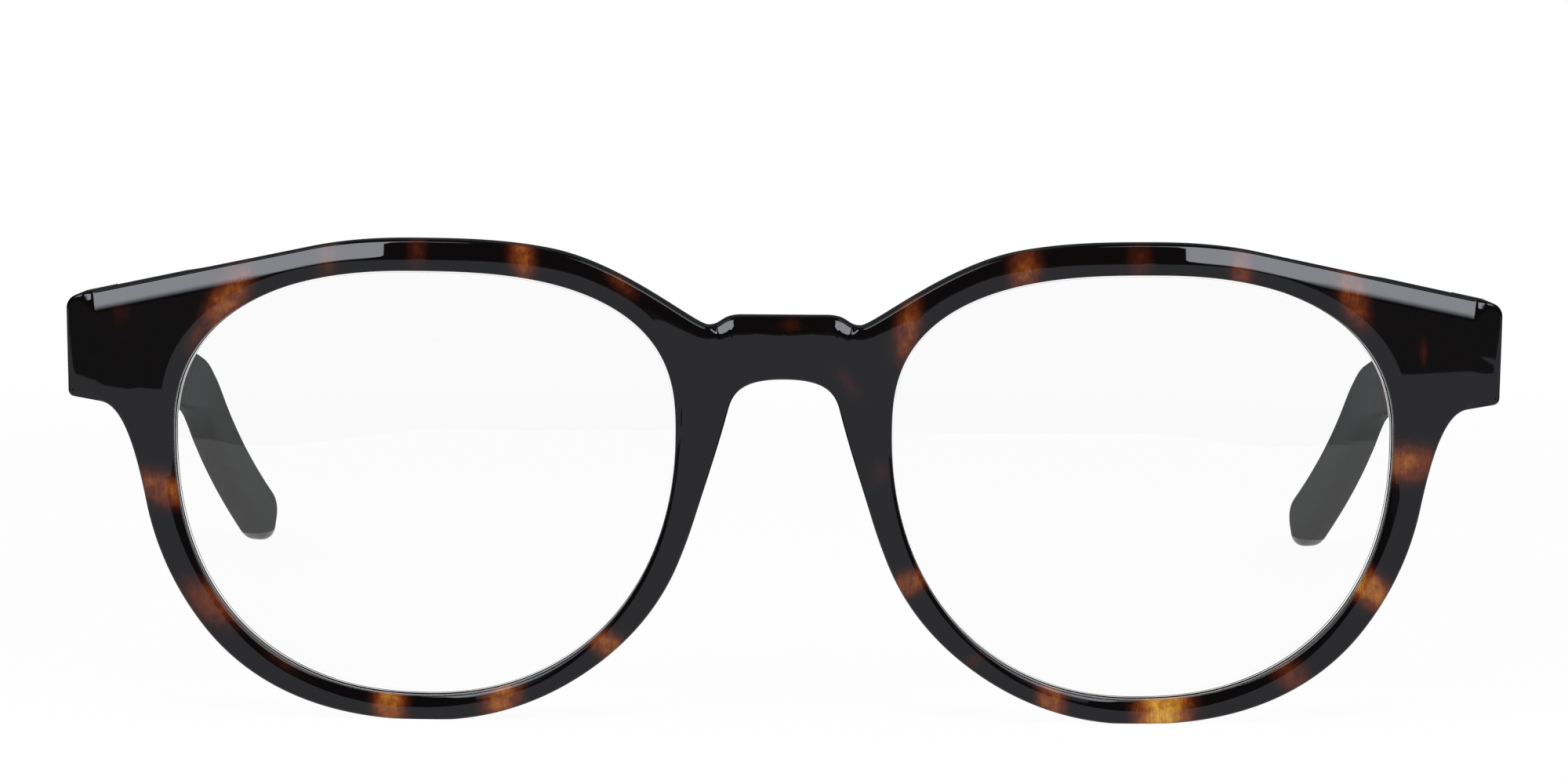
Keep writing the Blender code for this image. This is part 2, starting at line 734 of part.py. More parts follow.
def make_nose_pad(side_name, side, group):
    """A half-round pad bonded to the back of the rim beside the nose."""
    normal = eye_normal(PAD_ANGLE)
    rim = along(eye_point(PAD_ANGLE), normal, rim_width(PAD_ANGLE) / 2.0)
    shape = bmesh.new()
    bmesh.ops.create_uvsphere(shape, u_segments=PAD_SEGMENTS, v_segments=PAD_RINGS, radius=1.0)
    whole = shape.verts[:] + shape.edges[:] + shape.faces[:]
    bmesh.ops.bisect_plane(shape, geom=whole, plane_no=(0.0, 0.0, -1.0), clear_outer=True)
    bmesh.ops.holes_fill(shape, edges=[part for part in shape.edges if part.is_boundary])
    for vertex in shape.verts:
        lengthwise, across, deep = vertex.co
        place = along(rim, (-normal[1], normal[0]), lengthwise * PAD_LENGTH / 2.0)
        place = along(place, normal, across * PAD_WIDTH / 2.0 - deep * PAD_FLARE)
        vertex.co = bent(*place, FRONT_THICKNESS + BOND_GAP + deep * PAD_DEPTH)
    mesh = mesh_from(f"nose_pad_{side_name}", shape)
    mirror_mesh(mesh, side)
    return link_mesh(f"nose_pad_{side_name}", mesh, group, acetate(f"nose_pad_{side_name}"))


def tongue_profile(reach):
    """The outline of a barrel at the origin, with a tongue that runs to -X along its near side."""
    near = TONGUE_THICKNESS - BARREL_RADIUS
    last = 180.0 - math.asin(near / BARREL_RADIUS) / DEGREE
    turns = [(-90.0 + (90.0 + last) * k / BARREL_SIDES) * DEGREE for k in range(BARREL_SIDES + 1)]
    arc = [(BARREL_RADIUS * math.cos(turn), BARREL_RADIUS * math.sin(turn)) for turn in turns]
    return [(-reach, -BARREL_RADIUS)] + arc + [(-reach, near)]


def knuckle_mesh(name, profile, indexes, group):
    """Barrels with their tongues: a flat outline with a round hole, extruded at each height."""
    hole = SCREW_RADIUS + SCREW_CLEARANCE
    turns = [2.0 * math.pi * k / BARREL_SIDES for k in range(BARREL_SIDES)]
    ring = [(axis_x() + hole * math.cos(turn), AXIS_Y + hole * math.sin(turn)) for turn in turns]
    data = bpy.data.curves.new(name, "CURVE")
    data.dimensions = "2D"
    data.fill_mode = "BOTH"
    data.extrude = BARREL_LENGTH / 2.0
    for places in (profile, ring):
        spline = data.splines.new("POLY")
        spline.points.add(len(places) - 1)
        spline.use_cyclic_u = True
        for point, place in zip(spline.points, places):
            point.co = (*place, 0.0, 1.0)
    one = mesh_of_curve(name, data, group)
    shape = bmesh.new()
    for index in indexes:
        count = len(shape.verts)
        shape.from_mesh(one)
        shape.verts.ensure_lookup_table()
        lift = barrel_bottom(index) + BARREL_LENGTH / 2.0
        bmesh.ops.translate(shape, vec=(0.0, 0.0, lift), verts=shape.verts[count:])
    return mesh_from(name, shape)


def make_front_leaf(side_name, side, group, cutters):
    """The front half of a hinge: a sunk plate with three barrels."""
    name = f"front_hinge_leaf_{side_name}"
    end = front_leaf_end()
    plate = box_mesh(
        name,
        (end - FRONT_LEAF_LENGTH, SEAT_Y - LEAF_SUNK, HINGE_Z - BARREL_STACK / 2.0),
        (end, SEAT_Y - LEAF_SUNK + LEAF_THICKNESS, HINGE_Z + BARREL_STACK / 2.0),
    )
    mirror_mesh(plate, side)
    made = link_mesh(name, plate, group, steel(name))
    profile = tongue_profile(BARREL_RADIUS + BARREL_CLEARANCE + TONGUE_OVERLAP)
    profile = [(axis_x() + x, AXIS_Y + y) for x, y in profile]
    knuckles = knuckle_mesh(f"{name}_barrels", profile, range(0, BARREL_COUNT, 2), group)
    mirror_mesh(knuckles, side)
    combine(made, as_cutter(f"{name}_barrels", knuckles, cutters), "UNION")
    return made


def temple_leaf_turn():
    """Lays a plate made at the origin along the inner face of a temple."""
    place = Matrix.Translation((hinge_inner_face(), TEMPLE_START_Y, HINGE_Z))
    return place @ Matrix.Rotation(-SHAFT_DROP_ANGLE, 4, "X")


def make_temple_leaf(side_name, side, group, cutters):
    """The temple half of a hinge: a sunk plate with two barrels."""
    name = f"temple_hinge_leaf_{side_name}"
    half = temple_leaf_height() / 2.0
    plate = box_mesh(
        name,
        (LEAF_SUNK - LEAF_THICKNESS, TEMPLE_LEAF_SETBACK, -half),
        (LEAF_SUNK, TEMPLE_LEAF_SETBACK + TEMPLE_LEAF_LENGTH, half),
        temple_leaf_turn(),
    )
    mirror_mesh(plate, side)
    made = link_mesh(name, plate, group, steel(name))
    skew = half * math.sin(SHAFT_DROP_ANGLE)
    reach = TEMPLE_START_Y - AXIS_Y + TEMPLE_LEAF_SETBACK + skew + TONGUE_OVERLAP
    profile = [(axis_x() - y, AXIS_Y - x) for x, y in tongue_profile(reach)]
    knuckles = knuckle_mesh(f"{name}_barrels", profile, range(1, BARREL_COUNT, 2), group)
    mirror_mesh(knuckles, side)
    combine(made, as_cutter(f"{name}_barrels", knuckles, cutters), "UNION")
    return made


def make_screw(side_name, side, group, cutters):
    """A hinge screw with a slotted head, turned from its profile."""
    name = f"hinge_screw_{side_name}"
    bottom = barrel_bottom(0)
    under_head = bottom + BARREL_STACK + BARREL_GAP
    top = under_head + SCREW_HEAD_HEIGHT
    profile = [
        (0.0, top),
        (SCREW_HEAD_RADIUS, top),
        (SCREW_HEAD_RADIUS, under_head),
        (SCREW_RADIUS, under_head),
        (SCREW_RADIUS, bottom),
        (0.0, bottom),
    ]
    mesh = bpy.data.meshes.new(name)
    steps = [(k, k + 1) for k in range(len(profile) - 1)]
    mesh.from_pydata([(x, 0.0, z) for x, z in profile], steps, [])
    mesh.materials.append(steel(name))
    made = bpy.data.objects.new(name, mesh)
    group.objects.link(made)
    made.location = (side * axis_x(), AXIS_Y, 0.0)
    turning = made.modifiers.new("turning", "SCREW")
    turning.steps = SCREW_SIDES
    turning.render_steps = SCREW_SIDES
    turning.use_merge_vertices = True
    turning.merge_threshold = WELD_DISTANCE
    turning.use_smooth_shade = False
    reach = SCREW_HEAD_RADIUS + OVERRUN
    slot = box_mesh(
        f"{name}_slot",
        (-reach, -SCREW_SLOT_WIDTH / 2.0, top - SCREW_SLOT_DEPTH),
        (reach, SCREW_SLOT_WIDTH / 2.0, top + OVERRUN),
    )
    cutter = as_cutter(f"{name}_slot", slot, cutters)
    cutter.location = made.location
    combine(made, cutter, "DIFFERENCE")
    return made


class TemplePath:
    """The middle line of the left temple, for one angle of its tip."""

    def __init__(self, tip_angle):
        self.tip_angle = tip_angle
        turn = tip_angle - SHAFT_DROP_ANGLE
        reach = BEND_RADIUS * math.tan(turn / 2.0)
        self.bend_start = SHAFT_LENGTH - reach
        self.bend_end = self.bend_start + BEND_RADIUS * turn
        self.length = self.bend_end + TIP_LENGTH - reach

    def slope(self, s):
        """How steeply the line runs down at a distance along it."""
        if s <= self.bend_start:
            return SHAFT_DROP_ANGLE
        return min(self.tip_angle, SHAFT_DROP_ANGLE + (s - self.bend_start) / BEND_RADIUS)

    def centre(self, s):
        """The point at a distance along the line."""
        straight = min(s, self.bend_start)
        y = straight * math.cos(SHAFT_DROP_ANGLE)
        z = -straight * math.sin(SHAFT_DROP_ANGLE)
        if s > self.bend_start:
            slope = self.slope(s)
            y += BEND_RADIUS * (math.sin(slope) - math.sin(SHAFT_DROP_ANGLE))
            z += BEND_RADIUS * (math.cos(slope) - math.cos(SHAFT_DROP_ANGLE))
        beyond = max(0.0, s - self.bend_end)
        y += beyond * math.cos(self.tip_angle)
        z -= beyond * math.sin(self.tip_angle)
        inset = SHAFT_INSET * smooth_step((s - STRAIGHT_LENGTH) / (SHAFT_LENGTH - STRAIGHT_LENGTH))
        tip_reach = self.length - self.bend_start
        inset += TIP_INSET * (max(0.0, s - self.bend_start) / tip_reach) ** 2
        x = hinge_outer_face() - TEMPLE_THICKNESS / 2.0 - inset
        return Vector((x, TEMPLE_START_Y + y, HINGE_Z + z))

    def frame(self, s):
        """The sideways and upward directions of the section at a distance along the line."""
        turned = min(1.0, max(0.0, s) / SECTION_TURN_LENGTH)
        slope = self.slope(s) * turned
        up = Vector((0.0, math.sin(slope), math.cos(slope)))
        side = Vector((1.0, 0.0, 0.0))
        twist = TIP_TWIST * smooth_step(s / self.length)
        return (
            side * math.cos(twist) + up * math.sin(twist),
            up * math.cos(twist) - side * math.sin(twist),
        )

    def half_size(self, s):
        """Half the thickness and half the height of the section."""
        if s <= SHAFT_LENGTH:
            share = max(0.0, s) / SHAFT_LENGTH
            thickness = TEMPLE_THICKNESS + (TEMPLE_BEND_THICKNESS - TEMPLE_THICKNESS) * share
            height = TEMPLE_FRONT_HEIGHT + (TEMPLE_BEND_HEIGHT - TEMPLE_FRONT_HEIGHT) * share
            return thickness / 2.0, height / 2.0
        share = (s - SHAFT_LENGTH) / (self.length - SHAFT_LENGTH)
        thickness = TEMPLE_BEND_THICKNESS + (TEMPLE_TIP_THICKNESS - TEMPLE_BEND_THICKNESS) * share
        height = TEMPLE_BEND_HEIGHT + (TEMPLE_TIP_HEIGHT - TEMPLE_BEND_HEIGHT) * share
        return thickness / 2.0, height / 2.0

    def ring(self, s, thin=1.0, low=1.0):
        """The rounded section at a distance along the line."""
        side, up = self.frame(s)
        a, b = self.half_size(s)
        a *= thin
        b *= low
        radius = min(TEMPLE_EDGE_RADIUS, 0.8 * a, 0.8 * b)
        points = []
        for quarter, (sx, sz) in enumerate(((1.0, 1.0), (-1.0, 1.0), (-1.0, -1.0), (1.0, -1.0))):
            for k in range(EDGE_STEPS + 1):
                turn = (quarter + k / EDGE_STEPS) * math.pi / 2.0
                across = sx * (a - radius) + radius * math.cos(turn)
                rise = sz * (b - radius) + radius * math.sin(turn)
                points.append(self.centre(s) + side * across + up * rise)
        return points

    def rings(self):
        """All sections, from the mitre to the rounded tip."""
        tip_start = self.length - TIP_ROUND_LENGTH
        spans = (
            (0.0, self.bend_start, SHAFT_STEPS),
            (self.bend_start, self.bend_end, BEND_STEPS),
            (self.bend_end, tip_start, TIP_STEPS),
        )
        rings = [self.ring(0.0)]
        for start, end, steps in spans:
            rings += [self.ring(start + (end - start) * k / steps) for k in range(1, steps + 1)]
        for angle in TIP_ROUND_ANGLES:
            narrowing = math.cos(angle * DEGREE)
            thin = 1.0 - (1.0 - narrowing) * TIP_THINNING_share
            s = tip_start + TIP_ROUND_LENGTH * math.sin(angle * DEGREE)
            rings.append(self.ring(s, thin, narrowing))
        return rings


def temple_path():
    """The temple whose tip just reaches the table, found by halving."""
    low = SHAFT_DROP_ANGLE
    high = 80.0 * DEGREE
    for _ in range(40):
        middle = (low + high) / 2.0
        lowest = min(point.z for ring in TemplePath(middle).rings() for point in ring)
        if lowest > -FOOT_FLAT:
            low = middle
        else:
            high = middle
    return TemplePath(high)


def wire_mesh(name, path, span, radius, group):
    """A round wire along the middle of a temple."""
    start, end = span
    places = [start + (end - start) * k / WIRE_STEPS for k in range(WIRE_STEPS + 1)]
    data = bpy.data.curves.new(name, "CURVE")
    data.dimensions = "3D"
    data.bevel_depth = radius
    data.bevel_resolution = 2
    data.use_fill_caps = True
    spline = data.splines.new("POLY")
    spline.points.add(WIRE_STEPS)
    for target, place in zip(spline.points, places):
        target.co = (*path.centre(place), 1.0)
    return mesh_of_curve(name, data, group)


def make_temple(side_name, side, path, group, cutters, floor):
    """A temple: a loft of rounded sections, cut for its core, its leaf and its foot."""
    name = f"temple_{side_name}"
    mesh = mesh_of_rings(name, path.rings())
    mirror_mesh(mesh, side)
    made = link_mesh(name, mesh, group, acetate(name))
    combine(made, floor, "DIFFERENCE")
    half = temple_leaf_height() / 2.0 + LEAF_CLEARANCE
    leaf_end = TEMPLE_LEAF_SETBACK + TEMPLE_LEAF_LENGTH
    pocket = box_mesh(
        f"{name}_pocket",
        (-OVERRUN, TEMPLE_LEAF_SETBACK - LEAF_CLEARANCE, -half),
        (LEAF_SUNK + LEAF_CLEARANCE, leaf_end + LEAF_CLEARANCE, half),
        temple_leaf_turn(),
    )
    mirror_mesh(pocket, side)
    combine(made, as_cutter(f"{name}_pocket", pocket, cutters), "DIFFERENCE")
    span = (-OVERRUN, path.length - WIRE_TIP_MARGIN + WIRE_CLEARANCE)
    bore = wire_mesh(f"{name}_bore", path, span, WIRE_RADIUS + WIRE_CLEARANCE, cutters)
    mirror_mesh(bore, side)
    combine(made, as_cutter(f"{name}_bore", bore, cutters), "DIFFERENCE")
    return made


def make_core(side_name, side, path, group):
    """The metal wire inside a temple."""
    name = f"temple_core_{side_name}"
    mesh = wire_mesh(name, path, (WIRE_SETBACK, path.length - WIRE_TIP_MARGIN), WIRE_RADIUS, group)
    mirror_mesh(mesh, side)
    return link_mesh(name, mesh, group, steel(name))


def new_empty(name, location, parent, group):
    """An empty that other pieces hang from."""
    made = bpy.data.objects.new(name, None)
    made.location = location
    made.parent = parent
    group.objects.link(made)
    return made


def main():
    """Build the spectacles."""
    for old in list(bpy.data.objects):
        bpy.data.objects.remove(old, do_unlink=True)
    group = new_collection("spectacles")
    cutters = new_collection("cutters")
    path = temple_path()
    depth = max(point.y for ring in path.rings() for point in ring)
    root = new_empty("spectacles_origin", (0.0, -depth / 2.0, 0.0), None, group)

    reach = END_HALF_WIDTH + OVERRUN
    low = (-reach, -OVERRUN, -FOOT_FLAT - OVERRUN)
    floor = as_cutter("floor", box_mesh("floor", low, (reach, depth + OVERRUN, 0.0)), cutters)
    make_front(group, cutters, floor)
    for side_name, side in SIDES:
        make_lens(side_name, side, group)
        make_nose_pad(side_name, side, group)
        make_front_leaf(side_name, side, group, cutters)
        make_screw(side_name, side, group, cutters)
        place = Vector((side * axis_x(), AXIS_Y, HINGE_Z))
        hinge = new_empty(f"hinge_axis_{side_name}", place, root, group)
        turning = (
            make_temple(side_name, side, path, group, cutters, floor),
            make_temple_leaf(side_name, side, group, cutters),
            make_core(side_name, side, path, group),
        )
        for piece in turning:
            piece.data.transform(Matrix.Translation(-place))
            piece.parent = hinge
    for piece in bpy.data.objects:
        if piece.data and piece.parent is None:
            piece.parent = root


main()
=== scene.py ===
"""Dresses the round tortoiseshell spectacles for their picture.

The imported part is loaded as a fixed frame. The acetate front, the temples, the nose pads and the
lenses are made again with fine meshes from the same sizes, the hinges get their plating, and a
plain white studio stands round them. Left and right are the wearer's: the wearer faces -Y.
"""

from __future__ import annotations

import json
import logging
import math
from dataclasses import dataclass, field
from enum import Enum
from typing import Any

import bmesh
import bpy
import numpy as np
from mathutils import Euler, Matrix, Vector
from mathutils.geometry import delaunay_2d_cdt

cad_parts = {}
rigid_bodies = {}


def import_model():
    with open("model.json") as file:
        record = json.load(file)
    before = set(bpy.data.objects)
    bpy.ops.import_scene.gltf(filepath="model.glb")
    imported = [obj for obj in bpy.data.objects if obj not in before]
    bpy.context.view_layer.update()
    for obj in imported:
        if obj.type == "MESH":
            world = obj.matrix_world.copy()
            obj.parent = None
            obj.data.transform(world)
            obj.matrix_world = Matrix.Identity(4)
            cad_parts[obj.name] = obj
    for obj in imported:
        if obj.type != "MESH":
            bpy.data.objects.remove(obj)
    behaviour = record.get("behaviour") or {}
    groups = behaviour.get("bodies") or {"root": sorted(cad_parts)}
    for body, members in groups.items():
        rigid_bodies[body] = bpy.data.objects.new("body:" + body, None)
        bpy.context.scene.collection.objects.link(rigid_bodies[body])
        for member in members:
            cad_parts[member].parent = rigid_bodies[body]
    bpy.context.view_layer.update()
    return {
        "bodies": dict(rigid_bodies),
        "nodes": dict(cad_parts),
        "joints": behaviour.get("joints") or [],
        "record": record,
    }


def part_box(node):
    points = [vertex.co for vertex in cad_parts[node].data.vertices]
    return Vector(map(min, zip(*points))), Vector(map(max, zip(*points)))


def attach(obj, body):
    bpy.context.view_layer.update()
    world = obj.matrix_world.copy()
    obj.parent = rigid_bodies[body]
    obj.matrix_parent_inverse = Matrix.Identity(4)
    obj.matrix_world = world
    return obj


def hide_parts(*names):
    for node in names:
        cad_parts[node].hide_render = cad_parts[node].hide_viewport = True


LOG = logging.getLogger("spectacles")
MM = 0.001
DEGREE = math.pi / 180.0
SHARP_ANGLE = 40.0 * DEGREE  # faces that meet more steeply keep a crisp edge
AMBER = "amber"  # the mesh attribute that holds the pattern
WHITE = "ffffff"
PAPER = "d8e6ea"
BATCH = 4000  # how many places are worked on at a time
TINY = 1e-18  # square metres, against a division by a length of nothing
WHOLE_EDGE = 4  # the column of the outline's values with the width of its whole edge
FOOT_ANGLE = 272.0  # where round the eye the rim stands on the table, in degrees

Array = np.ndarray
Colour = tuple[float, float, float, float]


class Side(Enum):
    """The wearer's left, at +X, and right."""

    LEFT = 1.0
    RIGHT = -1.0

    @property
    def suffix(self) -> str:
        """The word that ends the names of this side's pieces."""
        return self.name.lower()

    def mirror(self) -> Matrix:
        """The identity for the left side and a mirror for the right one."""
        return Matrix.Diagonal((self.value, 1.0, 1.0, 1.0))


def linear(colour: str) -> Colour:
    """Turn an sRGB colour to linear.

    Args:
        colour: Six hex digits.

    Returns:
        Red, green, blue and an alpha of 1.
    """
    channels = [int(colour[k : k + 2], 16) / 255.0 for k in (0, 2, 4)]
    turned = [c / 12.92 if c <= 0.04045 else ((c + 0.055) / 1.055) ** 2.4 for c in channels]
    return turned[0], turned[1], turned[2], 1.0


def add_node(
    tree: bpy.types.NodeTree, kind: str, inputs: dict[str | int, Any] | None = None, **settings: Any
) -> bpy.types.Node:
    """Add a node with its settings and links.

    Args:
        tree: The node tree that takes it.
        kind: The node's type, such as Math.
        inputs: For each input by name or number, a value, the socket that feeds it or the
            node whose first output does.
        **settings: Properties of the node itself.

    Returns:
        The node.
    """
    node = tree.nodes.new("ShaderNode" + kind)
    for name, value in settings.items():
        setattr(node, name, value)
    for name, value in (inputs or {}).items():
        if isinstance(value, bpy.types.Node):
            value = value.outputs[0]
        if isinstance(value, bpy.types.NodeSocket):
            tree.links.new(value, node.inputs[name])
        else:
            node.inputs[name].default_value = value
    return node


def new_material(name: str) -> tuple[bpy.types.Material, bpy.types.NodeTree]:
    """Make an empty material.

    Args:
        name: What the material is.

    Returns:
        The material and its node tree.
    """
    made = bpy.data.materials.new(name)
    made.use_nodes = True
    made.node_tree.nodes.clear()
    return made, made.node_tree


def smooth_step(value: Array) -> Array:
    """An S-shaped rise from 0 to 1."""
    u = np.clip(value, 0.0, 1.0)
    return u * u * (3.0 - 2.0 * u)


def unit(vectors: Array) -> Array:
    """Rows of vectors, each scaled to length 1."""
    return vectors / np.linalg.norm(vectors, axis=-1, keepdims=True)


def bezier(start: Array, first: Array, second: Array, end: Array, steps: int) -> Array:
    """Sample a cubic curve.

    Args:
        start: Where it starts.
        first: The handle after the start.
        second: The handle before the end.
        end: Where it ends.
        steps: How many points to give.

    Returns:
        Its points, without the first.
    """
    t = (np.arange(1, steps + 1) / steps)[:, None]
    u = 1.0 - t
    return u**3 * start + 3.0 * u * u * t * first + 3.0 * u * t * t * second + t**3 * end


@dataclass(frozen=True)
class Patch:
    """A see-through patch in the dark acetate, as an ellipse, in millimetres and degrees."""

    x: float
    z: float
    long: float
    wide: float
    lean: float
    strength: float


@dataclass
class Pattern:
    """The patches of one piece, which run through its whole thickness."""

    patches: tuple[Patch, ...]
    axes: tuple[int, int] = (0, 2)
    core_share: float = 0.15
    fade_share: float = 1.6

    def amber_at(self, points: Array) -> Array:
        """Work out how amber the acetate is.

        Args:
            points: Places in the row frame, in metres.

        Returns:
            For each place 0 where it is dark, and up to about 1 where it is honey-coloured.
        """
        flat = points[:, list(self.axes)] / MM
        amber = np.zeros(len(points))
        for patch in self.patches:
            dx = flat[:, 0] - patch.x
            dz = flat[:, 1] - patch.z
            c = math.cos(patch.lean * DEGREE)
            s = math.sin(patch.lean * DEGREE)
            reach = np.hypot((dx * c + dz * s) / patch.long, (dz * c - dx * s) / patch.wide)
            inside = (self.fade_share - reach) / (self.fade_share - self.core_share)
            amber = np.maximum(amber, patch.strength * smooth_step(inside))
        return amber


@dataclass(frozen=True)
class Grain:
    """How unevenly a colour runs: its noise, and the least and the most that is left of it."""

    detail: float
    roughness: float
    least: float
    most: float
    noise_low: float = 0.3
    noise_high: float = 0.7

    def vary(
        self, tree: bpy.types.NodeTree, place: Any, scale: float, value: Any
    ) -> bpy.types.Node:
        """Let a value of a material vary from place to place.

        Args:
            tree: The material's node tree.
            place: What gives the place.
            scale: How many grains there are to a metre, or 1 where the place is scaled already.
            value: What gives the value.

        Returns:
            The node that gives the varied value.
        """
        noise = add_node(
            tree,
            "TexNoise",
            {"Vector": place, "Scale": scale, "Detail": self.detail, "Roughness": self.roughness},
        )
        share = add_node(
            tree,
            "MapRange",
            {
                "Value": noise.outputs["Fac"],
                "From Min": self.noise_low,
                "From Max": self.noise_high,
                "To Min": self.least,
                "To Max": self.most,
            },
        )
        return add_node(tree, "Math", {0: value, 1: share}, operation="MULTIPLY")


@dataclass(frozen=True)
class AcetateFinish:
    """Cellulose acetate sheet in a dark tortoiseshell, tumbled and hand-buffed.

    It is almost black where the chips of dark sheet lie deep, and red, brown and honey where
    clear amber sheet comes through. The buffed skin is glossy, with a faintly cool sheen.
    """

    name: str = "tortoiseshell_acetate"
    tones: tuple[tuple[float, str], ...] = (
        (0.0, "070505"),
        (0.14, "0c0606"),
        (0.3, "2c0f08"),
        (0.48, "57260f"),
        (0.66, "844a1b"),
        (0.84, "a8732a"),
        (1.0, "c89a3c"),
    )
    full_amber: float = 1.38
    roughness: float = 0.012
    ior: float = 1.48
    sheen: str = "f1f5ff"
    blotch_size: float = 0.9 * MM
    blotch: Grain = Grain(detail=3.0, roughness=0.55, least=0.8, most=1.12)
    fibre_width: float = 0.16 * MM
    fibre_length: float = 1.6 * MM
    fibre: Grain = Grain(detail=2.0, roughness=0.5, least=0.92, most=1.06)

    def material(self, fibre_axis: int = 2) -> bpy.types.Material:
        """Make the material.

        Args:
            fibre_axis: The axis of the row frame that the fine streaks run along.

        Returns:
            The material.
        """
        made, tree = new_material(self.name)
        place = add_node(tree, "TexCoord").outputs["Object"]
        amber = add_node(tree, "Attribute", attribute_name=AMBER).outputs["Fac"]
        stretch = [1.0 / self.fibre_width] * 3
        stretch[fibre_axis] = 1.0 / self.fibre_length
        along = add_node(tree, "Mapping", {"Vector": place, "Scale": stretch})
        blotchy = self.blotch.vary(tree, place, 1.0 / self.blotch_size, amber)
        streaky = self.fibre.vary(tree, along, 1.0, blotchy)
        share = add_node(tree, "Math", {0: streaky, 1: self.full_amber}, operation="DIVIDE")
        tone = add_node(tree, "ValToRGB", {"Fac": share})
        ramp = tone.color_ramp
        while len(ramp.elements) < len(self.tones):
            ramp.elements.new(0.5)
        for element, (position, colour) in zip(ramp.elements, self.tones):
            element.position = position
            element.color = linear(colour)
        shader = add_node(
            tree,
            "BsdfPrincipled",
            {
                "Base Color": tone,
                "Roughness": self.roughness,
                "IOR": self.ior,
                "Specular Tint": linear(self.sheen),
            },
        )
        add_node(tree, "OutputMaterial", {"Surface": shader})
        return made


@dataclass(frozen=True)
class LensFinish:
    """Clear cast acrylic, cut to shape and polished: it shows only by its edge and its gloss."""

    name: str = "clear_acrylic_lens"
    tint: str = WHITE
    ior: float = 1.49
    roughness: float = 0.0
    gloss: float = 0.015

    def material(self) -> bpy.types.Material:
        """Make the material, which lets lamp light through to what lies behind."""
        made, tree = new_material(self.name)
        colour = linear(self.tint)
        clear = add_node(
            tree,
            "BsdfPrincipled",
            {
                "Base Color": colour,
                "Roughness": self.roughness,
                "IOR": self.ior,
                "Transmission Weight": 1.0,
                "Specular IOR Level": self.gloss,
            },
        )
        gone = add_node(tree, "BsdfTransparent", {"Color": colour})
        ray = add_node(tree, "LightPath").outputs
        either = add_node(
            tree, "Math", {0: ray["Is Shadow Ray"], 1: ray["Is Diffuse Ray"]}, operation="MAXIMUM"
        )
        mixed = add_node(tree, "MixShader", {"Fac": either, 1: clear, 2: gone})
        add_node(tree, "OutputMaterial", {"Surface": mixed})
        return made


@dataclass(frozen=True)
class PlatedSteelFinish:
    """Nickel-plated steel, stamped and barrel-polished: a bright metal with a soft grain."""

    name: str = "nickel_plated_steel"
    colour: str = "cfcac0"
    roughness: float = 0.24
    smoother: float = 0.08
    rougher: float = 0.1
    grain_size: float = 0.12 * MM
    grain_height: float = 0.004 * MM
    grain_detail: float = 3.0

    def material(self) -> bpy.types.Material:
        """Make the material."""
        made, tree = new_material(self.name)
        place = add_node(tree, "TexCoord").outputs["Object"]
        grain = add_node(
            tree,
            "TexNoise",
            {"Vector": place, "Scale": 1.0 / self.grain_size, "Detail": self.grain_detail},
        ).outputs["Fac"]
        worn = add_node(
            tree,
            "MapRange",
            {
                "Value": grain,
                "To Min": self.roughness - self.smoother,
                "To Max": self.roughness + self.rougher,
            },
        )
        bump = add_node(
            tree, "Bump", {"Height": grain, "Strength": 1.0, "Distance": self.grain_height}
        )
        shader = add_node(
            tree,
            "BsdfPrincipled",
            {
                "Base Color": linear(self.colour),
                "Metallic": 1.0,
                "Roughness": worn,
                "Normal": bump,
            },
        )
        add_node(tree, "OutputMaterial", {"Surface": shader})
        return made


